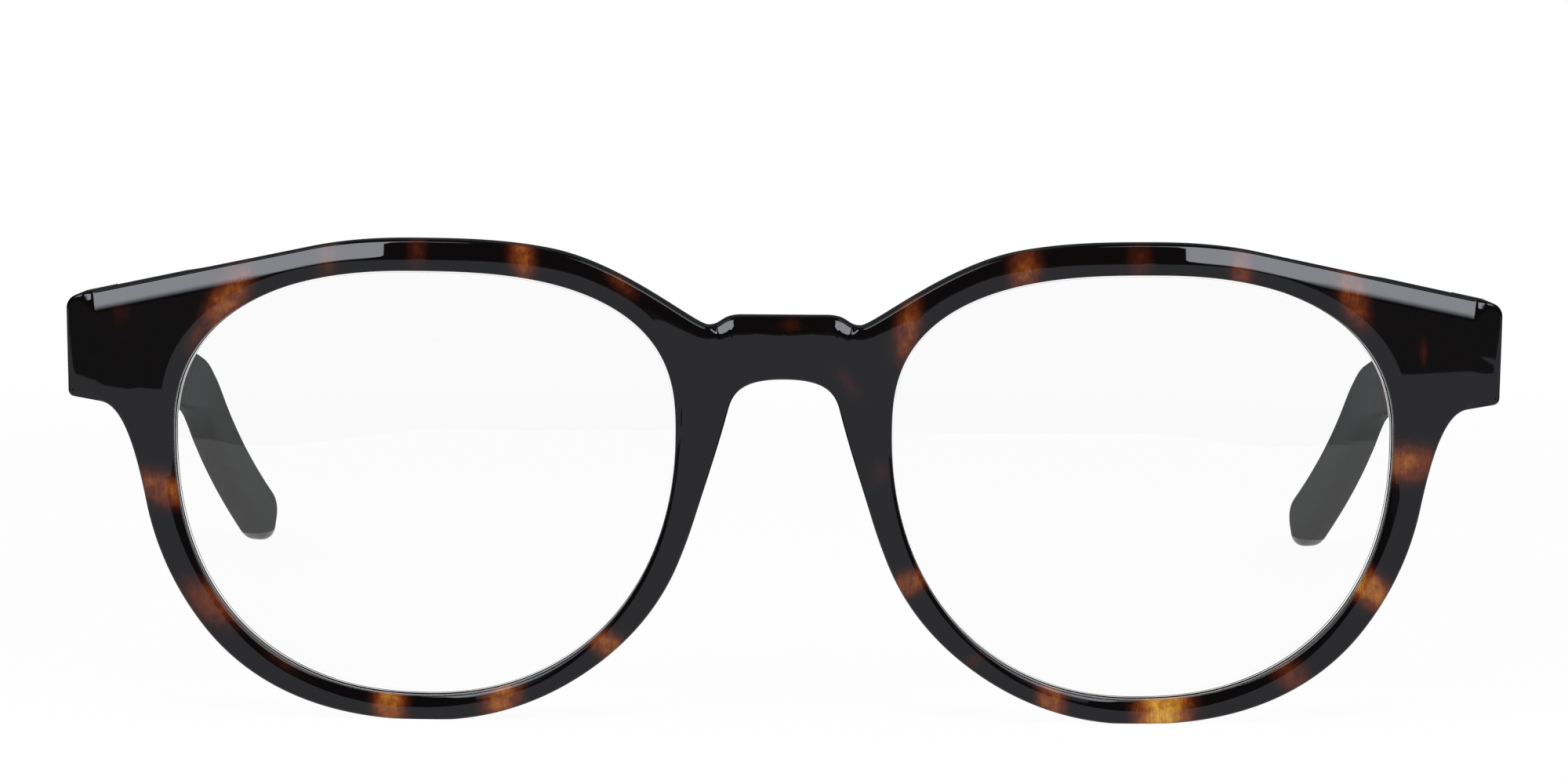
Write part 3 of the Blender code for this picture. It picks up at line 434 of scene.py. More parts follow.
class Maker:
    """What the makers of the pieces share."""

    def link(
        self, name: str, mesh: bpy.types.Mesh, finish: bpy.types.Material | None = None
    ) -> bpy.types.Object:
        """Put a mesh in the scene, smooth up to its edges.

        Args:
            name: The piece's name.
            mesh: Its mesh.
            finish: Its material.

        Returns:
            The object.
        """
        made = bpy.data.objects.new(name, mesh)
        bpy.context.scene.collection.objects.link(made)
        if finish:
            mesh.materials.clear()
            mesh.materials.append(finish)
        mesh.shade_smooth()
        mesh.set_sharp_from_angle(angle=SHARP_ANGLE)
        return made

    def box_mesh(self, low: Vector, high: Vector, turn: Matrix | None = None) -> bmesh.types.BMesh:
        """Make a box as an edit mesh.

        Args:
            low: Its lowest corner.
            high: Its highest corner.
            turn: Where it then goes.

        Returns:
            The edit mesh.
        """
        shape = bmesh.new()
        bmesh.ops.create_cube(shape, size=1.0)
        bmesh.ops.scale(shape, vec=high - low, verts=shape.verts)
        bmesh.ops.translate(shape, vec=(low + high) / 2.0, verts=shape.verts)
        bmesh.ops.transform(shape, matrix=turn or Matrix.Identity(4), verts=shape.verts)
        return shape

    def cut(self, mesh: bpy.types.Mesh, cutter: bmesh.types.BMesh) -> bpy.types.Mesh:
        """Cut a mesh with another, which is used up.

        Args:
            mesh: What is cut.
            cutter: What it is cut with.

        Returns:
            The mesh that is left.
        """
        tool_mesh = self.closed(cutter, "cutter")
        made = self.link("cut_piece", mesh)
        tool = self.link("cutter", tool_mesh)
        step = made.modifiers.new("cut", "BOOLEAN")
        step.operation = "DIFFERENCE"
        step.object = tool
        graph = bpy.context.evaluated_depsgraph_get()
        done = bpy.data.meshes.new_from_object(made.evaluated_get(graph))
        bpy.data.objects.remove(made)
        bpy.data.objects.remove(tool)
        return done

    def loft(self, rings: Any) -> tuple[bmesh.types.BMesh, list[list[bmesh.types.BMVert]]]:
        """Join closed rings of points to a tube that is open at its ends.

        Args:
            rings: The rings, which all have as many points.

        Returns:
            The edit mesh, and its points ring by ring.
        """
        shape = bmesh.new()
        rows = [[shape.verts.new(point) for point in ring] for ring in rings]
        for row, after in zip(rows, rows[1:]):
            for k in range(len(row)):
                j = (k + 1) % len(row)
                shape.faces.new((row[k], row[j], after[j], after[k]))
        return shape, rows

    def closed(self, shape: bmesh.types.BMesh, name: str) -> bpy.types.Mesh:
        """Turn an edit mesh, which is used up, into a mesh whose faces look outward."""
        bmesh.ops.recalc_face_normals(shape, faces=shape.faces)
        mesh = bpy.data.meshes.new(name)
        shape.to_mesh(mesh)
        shape.free()
        return mesh

    def trim_below(self, shape: bmesh.types.BMesh) -> None:
        """Cut an edit mesh flat at height 0, such as where it stands on the table."""
        whole = shape.verts[:] + shape.edges[:] + shape.faces[:]
        bmesh.ops.bisect_plane(shape, geom=whole, plane_no=(0.0, 0.0, -1.0), clear_outer=True)
        open_edges = [edge for edge in shape.edges if edge.is_boundary]
        bmesh.ops.holes_fill(shape, edges=open_edges)

    def paint(self, mesh: bpy.types.Mesh, pattern: Pattern) -> None:
        """Write a pattern into a mesh, point by point."""
        points = np.zeros(len(mesh.vertices) * 3)
        mesh.vertices.foreach_get("co", points)
        values = pattern.amber_at(points.reshape(-1, 3))
        layer = mesh.attributes.new(AMBER, "FLOAT", "POINT")
        layer.data.foreach_set("value", values)


def within(places: Array, ring: Array) -> Array:
    """Tell which places lie inside a closed ring of points."""
    start = ring
    step = np.roll(ring, -1, axis=0) - ring
    level = np.where(step[:, 1] == 0.0, 1.0, step[:, 1])
    found = np.zeros(len(places), dtype=bool)
    for first in range(0, len(places), BATCH):
        part = places[first : first + BATCH]
        above = start[:, 1] > part[:, 1:]
        spans = above != (start[:, 1] + step[:, 1] > part[:, 1:])
        meets = start[:, 0] + (part[:, 1:] - start[:, 1]) * step[:, 0] / level
        found[first : first + BATCH] = (spans & (part[:, :1] < meets)).sum(axis=1) % 2 == 1
    return found


@dataclass
class Border:
    """A curve in the flat layout of the front, as points in order with values at them."""

    points: Array
    values: Array

    def nearest(self, places: Array) -> tuple[Array, Array]:
        """Find how far places lie from the curve.

        Args:
            places: The places.

        Returns:
            The distances, and the curve's values where it comes nearest.
        """
        start = self.points[:-1]
        way = self.points[1:] - start
        reach = np.maximum((way * way).sum(axis=1), TINY)
        distances = np.zeros(len(places))
        values = np.zeros((len(places), self.values.shape[1]))
        for first in range(0, len(places), BATCH):
            part = slice(first, first + BATCH)
            offset = places[part, None, :] - start[None]
            t = np.clip((offset * way).sum(axis=2) / reach, 0.0, 1.0)
            gap = offset - t[..., None] * way
            squared = (gap * gap).sum(axis=2)
            k = squared.argmin(axis=1)
            pick = np.arange(len(k))
            distances[part] = np.sqrt(squared[pick, k])
            share = t[pick, k][:, None]
            values[part] = self.values[k] * (1.0 - share) + self.values[k + 1] * share
        return distances, values


@dataclass
class EyeShape:
    """The lip of the left eye, in the flat layout of the front."""

    width: float = 49.85 * MM
    height: float = 42.3 * MM
    spacing: float = 21.4 * MM
    widest_share: float = 0.122
    top_apex_share: float = 0.02
    bottom_apex_share: float = -0.008
    top_outer_power: float = 2.28
    top_nasal_power: float = 2.72
    low_nasal_power: float = 2.14
    low_outer_power: float = 2.31
    angle_step: float = 0.01

    @property
    def centre_x(self) -> float:
        """The distance from the middle of the front to the middle of the eye."""
        return (self.spacing + self.width) / 2.0

    def point(self, angle: Array) -> Array:
        """Points of the lip, at angles in degrees."""
        c = np.cos(np.asarray(angle) * DEGREE)
        s = np.sin(np.asarray(angle) * DEGREE)
        top = np.where(c >= 0.0, self.top_outer_power, self.top_nasal_power)
        low = np.where(c >= 0.0, self.low_outer_power, self.low_nasal_power)
        power = np.where(s >= 0.0, top, low)
        apex = np.where(s >= 0.0, self.top_apex_share, self.bottom_apex_share) * self.width
        widest = self.widest_share * self.height
        reach = self.height / 2.0 - np.where(s >= 0.0, widest, -widest)
        x = self.width / 2.0 * np.sign(c) * np.abs(c) ** (2.0 / power)
        z = reach * np.sign(s) * np.abs(s) ** (2.0 / power)
        return np.stack((self.centre_x + x + apex * s * s, widest + z), axis=-1)

    def normal(self, angle: Array) -> Array:
        """The directions out of the eye at points of its lip."""
        middle = np.asarray(angle)
        way = unit(self.point(middle + self.angle_step) - self.point(middle - self.angle_step))
        return np.stack((way[..., 1], -way[..., 0]), axis=-1)


@dataclass
class FrontMaker(Maker):
    """The acetate front: a bent plate with two eyes, rounded and bevelled as it was buffed."""

    eye: EyeShape = field(default_factory=EyeShape)
    # the even rim: its width at angles round the eye
    rim_knots: tuple[tuple[float, float], ...] = (
        (0.0, 3.4 * MM),
        (90.0, 3.09 * MM),
        (140.0, 3.35 * MM),
        (175.0, 3.4 * MM),
        (205.0, 2.65 * MM),
        (240.0, 2.2 * MM),
        (FOOT_ANGLE, 2.45 * MM),
        (320.0, 2.9 * MM),
        (360.0, 3.4 * MM),
    )
    foot_flat: float = 0.12 * MM
    # the bridge, the notches beside it and the nose arch
    bridge_top: float = 16.9 * MM
    bridge_height: float = 6.2 * MM
    bridge_flat_width: float = 8.4 * MM
    bridge_handle: float = 2.2 * MM
    notch_spacing: float = 15.1 * MM
    notch_depth: float = 1.02 * MM
    notch_handle: float = 1.35 * MM
    notch_brow_handle: float = 7.5 * MM
    notch_angle: float = 113.0
    arch_handle: float = 3.9 * MM
    nose_width: float = 11.0 * MM
    nose_drop: float = 3.0 * MM
    nose_handle: float = 1.9 * MM
    nose_lean: float = 14.5 * DEGREE
    nose_angle: float = 196.0
    # the end pieces and the fillets under them
    end_reach: float = 10.68 * MM
    end_top: float = 18.2 * MM
    end_bottom: float = 8.35 * MM
    end_side_lean: float = 0.15 * MM
    end_low_radius: float = 0.7 * MM
    end_high_radius: float = 1.4 * MM
    underside_length: float = 3.3 * MM
    underside_rise: float = 9.6 * DEGREE
    underside_angle: float = 348.0
    fillet_rim_handle: float = 5.5 * MM
    fillet_end_handle: float = 2.2 * MM
    # the plate, and how its edges were rolled, banded and rounded on the buffing wheel
    thickness: float = 3.9 * MM
    bend_radius: float = 700.0 * MM
    roll_width: float = 2.1 * MM
    roll_blend: float = 0.15 * MM
    roll_tilt: float = 6.5 * DEGREE
    band_blend: float = 0.45 * MM
    band_tilt: float = 19.0 * DEGREE
    brow_band: float = 1.75 * MM
    bridge_band: float = 1.2 * MM
    bridge_tilt: float = 28.0 * DEGREE
    shoulder_roll: float = 1.3 * MM
    bridge_roll: float = 1.6 * MM
    nasal_band: float = 0.24 * MM
    notch_roll: float = 0.95 * MM
    side_roll: float = 0.5 * MM
    roll_fade: float = 1.6 * MM
    band_start: float = 0.8 * MM
    band_fade: float = 0.05 * MM
    brow_fade_angle: float = 88.0
    bevel_margin: float = 1.07
    upper_round: float = 0.26 * MM
    lower_round: float = 0.45 * MM
    back_round: float = 0.5 * MM
    # the bevel beside the lip: its width at angles round the eye
    bevel_knots: tuple[tuple[float, float], ...] = (
        (0.0, 1.15 * MM),
        (25.0, 1.5 * MM),
        (60.0, 1.3 * MM),
        (90.0, 1.05 * MM),
        (130.0, 1.5 * MM),
        (160.0, 1.2 * MM),
        (190.0, 0.35 * MM),
        (225.0, 0.45 * MM),
        (250.0, 0.8 * MM),
        (275.0, 1.1 * MM),
        (300.0, 0.9 * MM),
        (325.0, 0.6 * MM),
        (360.0, 1.15 * MM),
    )
    bevel_tilt: float = 13.5 * DEGREE
    lip_round: float = 0.14 * MM
    # how many steps each stretch of the outline has
    arch_steps: int = 36
    nose_steps: int = 26
    rim_steps: int = 219
    fillet_steps: int = 34
    low_corner_steps: int = 10
    high_corner_steps: int = 16
    side_steps: int = 25
    brow_steps: int = 59
    rim_top_steps: int = 89
    notch_steps: int = 60
    bump_steps: int = 36
    bump_rise_steps: int = 11
    crest_steps: int = 14
    angle_step: float = 0.1
    # the angles that are tried for the brow's end, and the step between them
    brow_search: tuple[float, float, float] = (20.0, 110.0, 0.5)
    # the rows of points beside the outline and the least room that they take
    round_rows: int = 8
    roll_rows: int = 4
    band_rows: int = 12
    least_roll_start: float = 1.3
    least_roll_end: float = 1.2
    roll_spare: float = 1.3
    room_share: float = 0.6
    band_share: float = 0.3
    least_blend: float = 0.1
    bevel_share: float = 0.46
    # how true a row has to keep its distance, and how the faces are filled
    contour_truth: float = 0.985
    seam: float = 0.02 * MM
    seam_points: int = 40
    lip_steps: int = 480
    fill_pitch: float = 0.7 * MM
    fill_merge: float = 1e-4
    back_spare: float = 0.4
    knee_rows: tuple[float, float] = (0.12 * MM, 0.35 * MM)
    lip_rows: tuple[float, ...] = (0.12, 0.4, 1.0)
    bevel_rows: tuple[float, ...] = (0.3, 0.62, 0.96, 1.04)
    seat_rows: tuple[float, ...] = (0.0, 0.35, 0.7, 1.0)
    seat_margin: float = 1.1
    middle_reach: float = 1e-9
    middle_snap: float = 0.001 * MM
    middle_merge: float = 0.0005 * MM
    # the lens groove: how deep and how far from its middle each of its rows lies
    groove_rows: tuple[tuple[float, float], ...] = (
        (0.0, -0.5),
        (0.5, -0.25),
        (1.0, 0.0),
        (0.5, 0.25),
        (0.0, 0.5),
    )
    groove_depth: float = 0.9 * MM
    groove_width: float = 1.2 * MM
    groove_backset: float = 1.85 * MM
    # the hinge seats behind the end pieces
    mitre_backset: float = 9.6 * MM
    seat_rise_start: float = 0.4 * MM
    seat_rise_end: float = 1.4 * MM
    seat_rise_reach: float = 5.0 * MM

    @property
    def centre_z(self) -> float:
        """The height of the middle of the eyes over the table."""
        bottom = dict(self.rim_knots)[FOOT_ANGLE]
        return self.eye.height / 2.0 + bottom - self.foot_flat

    @property
    def lip_angles(self) -> Array:
        """The angles of the lip's points in degrees, with the first again at the end."""
        return np.linspace(0.0, 360.0, self.lip_steps + 1)

    @property
    def half_width(self) -> float:
        """The distance from the middle to the side of an end piece."""
        return self.eye.spacing / 2.0 + self.eye.width + self.end_reach

    def eased(self, knots: tuple[tuple[float, float], ...], angle: Array) -> Array:
        """A width that runs softly from knot to knot round the eye, at angles in degrees."""
        turned = np.asarray(angle) % 360.0
        starts, widths = np.array(knots).T
        k = np.clip(np.searchsorted(starts, turned, side="right") - 1, 0, len(starts) - 2)
        u = (turned - starts[k]) / (starts[k + 1] - starts[k])
        return widths[k] + (widths[k + 1] - widths[k]) * (0.5 - 0.5 * np.cos(math.pi * u))

    def rim_width(self, angle: Array) -> Array:
        """The width of the even rim at angles in degrees."""
        return self.eased(self.rim_knots, angle)

    def rim_point(self, angle: Array) -> Array:
        """Points of the outside of the even rim."""
        return self.eye.point(angle) + self.eye.normal(angle) * self.rim_width(angle)[..., None]

    def rim_way(self, angle: Array) -> Array:
        """Directions along the outside of the even rim."""
        middle = np.asarray(angle)
        ahead = self.rim_point(middle + self.angle_step)
        return unit(ahead - self.rim_point(middle - self.angle_step))

    def bent(self, x: Array, z: Array, depth: Array) -> Array:
        """Where points of the flat plate lie once the plate is bent round the face."""
        lean = x / self.bend_radius
        upright = np.sqrt(1.0 - lean * lean)
        y = self.bend_radius * (1.0 - upright) + upright * depth
        return np.stack((x - lean * depth, y, self.centre_z + z + 0.0 * depth), axis=-1)

    def depth_to(self, backset: float, x: Array) -> Array:
        """The depth in the plate at which it reaches a backset behind the bridge."""
        upright = np.sqrt(1.0 - (x / self.bend_radius) ** 2)
        return (backset - self.bend_radius * (1.0 - upright)) / upright

    def corner(
        self, before: Array, corner: Array, after: Array, radius: float, steps: int
    ) -> Array:
        """Round the corner between two straight sides.

        Args:
            before: A point of the side that comes in.
            corner: The corner.
            after: A point of the side that goes out.
            radius: The radius of the round.
            steps: How many steps the round has.

        Returns:
            Its points, with both ends.
        """
        back = unit(before - corner)
        ahead = unit(after - corner)
        half = math.acos(float(back @ ahead)) / 2.0
        reach = radius / math.tan(half)
        handle = reach - radius * 4.0 / 3.0 * math.tan((math.pi / 2.0 - half) / 2.0)
        start = corner + back * reach
        first = corner + back * handle
        second = corner + ahead * handle
        return np.vstack((start, bezier(start, first, second, corner + ahead * reach, steps)))

    def outline(self) -> Array:
        """Walk round the left half of the front, from the nose arch to the bridge's top.

        Returns:
            Rows of x, z, roll width, band width, edge radius and band tilt.
        """
        rows: list[Array] = []

        def add(
            points: Array, roll: Any, band: Any, radius: Any, tilt: Any = self.band_tilt
        ) -> None:
            """Add points with their widths."""
            block = np.zeros((len(points), 6))
            block[:, :2] = points
            for column, value in ((2, roll), (3, band), (4, radius), (5, tilt)):
                block[:, column] = value
            rows.append(block)

        def rise(start: float, end: float, count: int) -> Array:
            """A soft change from one width to another, over a count of points."""
            return start + (end - start) * smooth_step(np.arange(1, count + 1) / count)

        arch = np.array((0.0, self.bridge_top - self.bridge_height))
        shoulder = np.array((self.nose_width / 2.0, arch[1] - self.nose_drop))
        lean = np.array((math.sin(self.nose_lean), -math.cos(self.nose_lean)))
        nose = self.rim_point(self.nose_angle)
        third = float(np.linalg.norm(nose - shoulder)) / 3.0
        nose_handle = nose - self.rim_way(self.nose_angle) * third
        over = shoulder - lean * self.nose_handle
        low = self.lower_round
        high = self.upper_round
        top_of_arch = arch + (self.arch_handle, 0.0)
        add(arch[None], 0.0, 0.0, low)
        add(bezier(arch, top_of_arch, over, shoulder, self.arch_steps), 0.0, 0.0, low)
        flank = bezier(shoulder, shoulder + lean * third, nose_handle, nose, self.nose_steps)
        add(flank, 0.0, 0.0, low)
        angles = np.linspace(self.nose_angle, self.underside_angle, self.rim_steps + 1)[1:]
        add(self.rim_point(angles), 0.0, 0.0, low)

        start = self.rim_point(self.underside_angle)
        bottom = np.array((self.half_width - self.end_side_lean, self.end_bottom))
        top = np.array((self.half_width, self.end_top))
        under = np.array((math.cos(self.underside_rise), math.sin(self.underside_rise)))
        inner = bottom - under * self.underside_length
        rim_handle = start + self.rim_way(self.underside_angle) * self.fillet_rim_handle
        end_handle = inner - under * self.fillet_end_handle
        add(bezier(start, rim_handle, end_handle, inner, self.fillet_steps), 0.0, 0.0, low)
        corner = self.corner(inner, bottom, top, self.end_low_radius, self.low_corner_steps)
        add(corner, rise(0.0, self.side_roll, len(corner)), 0.0, low)

        angles = np.arange(*self.brow_search)
        seen = self.rim_point(angles) - top
        tangent = float(angles[np.argmax(np.arctan2(seen[:, 1], -seen[:, 0]))])
        brow_end = self.rim_point(tangent)
        after = self.corner(bottom, top, brow_end, self.end_high_radius, self.high_corner_steps)
        side = np.linspace(corner[-1], after[0], self.side_steps + 1)[1:-1]
        add(side, self.side_roll, 0.0, rise(low, high, len(side)))
        add(after, self.side_roll, 0.0, high)
        brow = np.linspace(after[-1], brow_end, self.brow_steps + 1)[1:-1]
        reach = np.linalg.norm(brow - after[-1], axis=1)
        wider = (self.roll_width - self.side_roll) * smooth_step(reach / self.roll_fade)
        band = self.brow_band * smooth_step((reach - self.band_start) / self.band_fade)
        add(brow, self.side_roll + wider, band, high)

        angles = np.linspace(tangent, self.notch_angle, self.rim_top_steps + 1)
        fade_length = self.notch_angle - self.brow_fade_angle
        fade = smooth_step((angles - self.brow_fade_angle) / fade_length)
        band = self.brow_band + (self.nasal_band - self.brow_band) * fade
        add(self.rim_point(angles), self.roll_width, band, high)
        start = self.rim_point(self.notch_angle)
        notch = np.array((self.notch_spacing / 2.0, self.bridge_top - self.notch_depth))
        flat = np.array((self.bridge_flat_width / 2.0, self.bridge_top))
        crest = np.array((0.0, self.bridge_top))
        brow_handle = start + self.rim_way(self.notch_angle) * self.notch_brow_handle
        reach = np.array((self.notch_handle, 0.0))
        curve = bezier(start, brow_handle, notch + reach, notch, self.notch_steps)
        add(curve, rise(self.roll_width, self.notch_roll, len(curve)), self.nasal_band, high)
        handle = flat + (self.bridge_handle, 0.0)
        curve = bezier(notch, notch - reach, handle, flat, self.bump_steps)
        share = smooth_step(np.arange(1, len(curve) + 1) / self.bump_rise_steps)
        band = self.nasal_band + (self.bridge_band - self.nasal_band) * share
        tilt = self.band_tilt + (self.bridge_tilt - self.band_tilt) * share
        roll = rise(self.notch_roll, self.shoulder_roll, len(curve))
        add(curve, roll, np.minimum(band, roll), high, tilt)
        level = np.linspace(flat, crest, self.crest_steps + 1)[1:]
        roll = rise(self.shoulder_roll, self.bridge_roll, len(level))
        add(level, roll, self.bridge_band, high, self.bridge_tilt)
        return np.vstack(rows)

    def round_steps(self, radius: Any) -> Array:
        """Distances from the outline at which a rounded edge has its rows, the largest first."""
        turns = np.linspace(0.0, 90.0, self.round_rows) * DEGREE
        return np.multiply.outer(radius, 1.0 - np.sin(turns))

    def edge_steps(self, roll: Array, radius: Array) -> Array:
        """Distances from the outline at which the front's edge has its rows, the largest first."""
        wide = np.maximum(roll + self.roll_blend, radius * self.least_roll_start)
        narrow = np.maximum(roll - self.roll_blend, radius * self.least_roll_end)
        roll_rows = np.linspace(wide, narrow, self.roll_rows, axis=1)
        band_rows = np.linspace(roll_rows[:, -1], radius, self.band_rows, axis=1)[:, 1:-1]
        return np.concatenate((roll_rows, band_rows, self.round_steps(radius)), axis=1)

    def knee(self, below: Array, blend: Any) -> Array:
        """How far a slope of 1 has fallen past its start, which is blended over a width."""
        near = np.clip(below + blend, 0.0, 2.0 * blend)
        return near * near / (4.0 * blend) + np.maximum(below - blend, 0.0)

    def edge_fall(self, distance: Array, values: Array) -> Array:
        """How deep the front's face lies at distances from the outline.

        Args:
            distance: The distances.
            values: The roll, band, radius, room, whole edge and tilt at the nearest points of
                the outline.

        Returns:
            The depths.
        """
        roll, band, radius, room, _, tilt = values.T
        slow = self.knee(roll - distance, self.roll_blend) * math.tan(self.roll_tilt)
        steep = np.tan(tilt) - math.tan(self.roll_tilt)
        narrow = np.minimum(self.room_share * (room - band), self.band_share * band)
        blend = np.clip(narrow, self.least_blend * self.band_blend, self.band_blend)
        fast = self.knee(band - distance, blend) * steep
        fast = fast * np.clip(band / blend, 0.0, 1.0)
        slow = slow * np.clip(roll / self.side_roll, 0.0, 1.0)
        return slow + fast + self.quarter_round(distance, radius)

    def quarter_round(self, distance: Array, radius: Any) -> Array:
        """How deep a rounded edge lies at distances from the outline."""
        u = np.clip(1.0 - distance / radius, 0.0, 1.0)
        return radius * (1.0 - np.sqrt(1.0 - u * u))

    def fill(self, chains: list[Array]) -> tuple[Array, Array, Array]:
        """Fill the half plate with triangles that respect chains of points.

        Args:
            chains: Rows of points. The points of each row are joined in order. The first is the
                outline and the second the lip, between which the triangles lie.

        Returns:
            The points, the triangles, and for each point of the chains where it went.
        """
        places = np.vstack(chains)
        edges: list[tuple[int, int]] = []
        count = 0
        for chain in chains:
            steps = np.linalg.norm(np.diff(chain, axis=0), axis=1)
            joined = np.flatnonzero(steps < self.fill_pitch) + count
            edges += [(int(k), int(k) + 1) for k in joined]
            count += len(chain)
        flat = [Vector(place) for place in (places / MM).tolist()]
        points, _, faces, origins, _, _ = delaunay_2d_cdt(flat, edges, [], 0, self.fill_merge)
        found = np.array([tuple(point) for point in points])
        made = found * MM
        went = np.zeros(len(places), dtype=int)
        for k, sources in enumerate(origins):
            for source in sources:
                went[source] = k
                made[k] = places[source]
        triangles = np.array([tuple(face) for face in faces])
        middles = found[triangles].mean(axis=1)
        edge = found[went[: len(chains[0])]]
        lip = found[went[len(edge) : len(edge) + len(chains[1]) - 1]]
        return made, triangles[within(middles, edge) & ~within(middles, lip)], went

    def borders(self) -> tuple[Border, Border, Array]:
        """The outline and the lip, with the widths that the face takes from them.

        Returns:
            The outline, with roll, band, radius, room, the width of its whole edge and tilt, the
            lip, with its bevel, and the distances of the edge's rows at every point of the outline.
        """
        rows = self.outline()
        lip = self.eye.point(self.lip_angles)
        bevel = self.eased(self.bevel_knots, self.lip_angles)
        outline = Border(rows[:, :2], rows[:, 2:])
        width, _ = outline.nearest(lip)
        bevel = np.minimum(bevel, self.bevel_share * width)
        lip_border = Border(lip, bevel[:, None])
        away, value = lip_border.nearest(rows[:, :2])
        room = away - self.bevel_margin * value[:, 0]
        most = np.maximum(room - self.roll_spare * self.roll_blend, 0.0)
        roll = np.clip(rows[:, 2], 0.0, most)
        edges = self.edge_steps(roll, rows[:, 4])
        values = np.stack((roll, rows[:, 3], rows[:, 4], room, edges[:, 0], rows[:, 5]), axis=1)
        return Border(rows[:, :2], values), lip_border, edges

    def chains(
        self, outline: Border, lip: Border, edges: Array
    ) -> tuple[list[Array], list[Array]]:
        """Lay out the rows of points that the two faces are filled along.

        Args:
            outline: The outline.
            lip: The lip.
            edges: The distances of the edge's rows at every point of the outline.

        Returns:
            The rows of the face in front and of the face behind.
        """
        edge = outline.points
        around = np.vstack((edge[1] * (-1.0, 1.0), edge, edge[-2] * (-1.0, 1.0)))
        tangent = unit(around[2:] - around[:-2])
        outward = np.stack((tangent[:, 1], -tangent[:, 0]), axis=-1)
        ring = lip.points[:-1]
        normal = self.eye.normal(self.lip_angles[:-1])
        bevel = lip.values[:-1, 0]

        def contour(distance: Array) -> Array:
            """The points of the outline moved in, where they don't meet others."""
            moved = edge - outward * distance[:, None]
            away, _ = outline.nearest(moved)
            across, value = lip.nearest(moved)
            clear = away >= self.contour_truth * distance
            clear &= across > self.bevel_margin * value[:, 0] + self.seam
            return moved[clear & (moved[:, 0] > -self.middle_reach)]

        def lip_ring(
            step: Array | float, margin: float | None = None, past_edge: bool = False
        ) -> Array:
            """Move the lip out.

            Args:
                step: How far.
                margin: How far from the outline its points have to stay, or None for anywhere.
                past_edge: Whether the margin starts behind the outline's whole edge.

            Returns:
                The points that are left, with the first again at the end.
            """
            moved = ring + normal * np.broadcast_to(step, bevel.shape)[:, None]
            if margin is not None:
                away, values = outline.nearest(moved)
                moved = moved[away > margin + (values[:, WHOLE_EDGE] if past_edge else 0.0)]
            return np.vstack((moved, moved[:1]))

        low, high = edge.min(axis=0), edge.max(axis=0)
        pitch = self.fill_pitch
        columns = np.arange(pitch / 2.0, high[0], pitch)
        lines = np.arange(low[1], high[1], pitch)
        grid = np.stack(np.meshgrid(columns, lines), axis=-1).reshape(-1, 2)
        grid = grid[within(grid, edge) & ~within(grid, ring)]
        from_edge, values = outline.nearest(grid)
        from_lip, bevels = lip.nearest(grid)
        far = from_lip > self.bevel_margin * bevels[:, 0] + pitch
        front_grid = grid[far & (from_edge > values[:, WHOLE_EDGE] + pitch)]
        back_grid = grid[far & (from_edge > self.back_round + self.back_spare * pitch)]

        up = np.linspace(edge[-1, 1], edge[0, 1], self.seam_points)
        seam = np.stack((np.zeros(self.seam_points), up), axis=1)
        bounds = [edge, np.vstack((ring, ring[:1]))]
        bounds += [lip_ring(row * self.lip_round) for row in self.lip_rows]
        front = bounds[:]
        for share in self.bevel_rows:
            front.append(lip_ring(self.lip_round + (bevel - self.lip_round) * share))
        for past in self.knee_rows:
            front.append(lip_ring(bevel * self.bevel_margin + past, self.knee_rows[0], True))
        front += [contour(edges[:, k]) for k in range(edges.shape[1] - 1)]
        front += [contour(edges[:, 0] + past) for past in self.knee_rows]
        front += [seam] + [place[None] for place in front_grid]
        back = bounds[:]
        for share in self.seat_rows:
            step = self.seat_rise_start + (self.seat_rise_end - self.seat_rise_start) * share
            back.append(lip_ring(step, self.back_round * self.seat_margin))
        for row in self.round_steps(self.back_round)[:-1]:
            back.append(contour(np.full(len(edge), row)))
        back += [seam] + [place[None] for place in back_grid]

        return front, back

    def joined(
        self,
        front: tuple[Array, Array, Array],
        back: tuple[Array, Array, Array],
        outline: Border,
        lip: Border,
    ) -> tuple[Array, list[tuple[int, ...]]]:
        """Join the two filled faces by the edge of the plate and by the groove of the lens.

        Args:
            front: The filled face in front.
            back: The filled face behind.
            outline: The outline.
            lip: The lip.

        Returns:
            The points and the faces of the half plate.
        """
        front_flat, front_faces, front_went = front
        back_flat, back_faces, back_went = back
        points = [self.front_points(front_flat, outline, lip)]
        points.append(self.back_points(back_flat, outline, lip))
        faces = front_faces.tolist() + (back_faces + len(front_flat)).tolist()
        length = len(outline.points)
        upper = front_went[:length]
        lower = back_went[:length] + len(front_flat)
        for k in range(length - 1):
            faces.append((upper[k], upper[k + 1], lower[k + 1], lower[k]))
        ring = lip.points[:-1]
        normal = self.eye.normal(self.lip_angles[:-1])
        count = len(ring)
        base = len(front_flat) + len(back_flat)
        rows = [front_went[length : length + count]]
        for rise, setback in self.groove_rows:
            at = ring + normal * self.groove_depth * rise
            deep = np.full(count, self.groove_backset + self.groove_width * setback)
            points.append(self.bent(at[:, 0], at[:, 1], deep))
            rows.append(np.arange(count) + base)
            base += count
        rows.append(back_went[length : length + count] + len(front_flat))
        for row, after in zip(rows, rows[1:]):
            for k in range(count):
                j = (k + 1) % count
                faces.append((row[k], row[j], after[j], after[k]))
        return np.vstack(points), [tuple(int(v) for v in face) for face in faces]

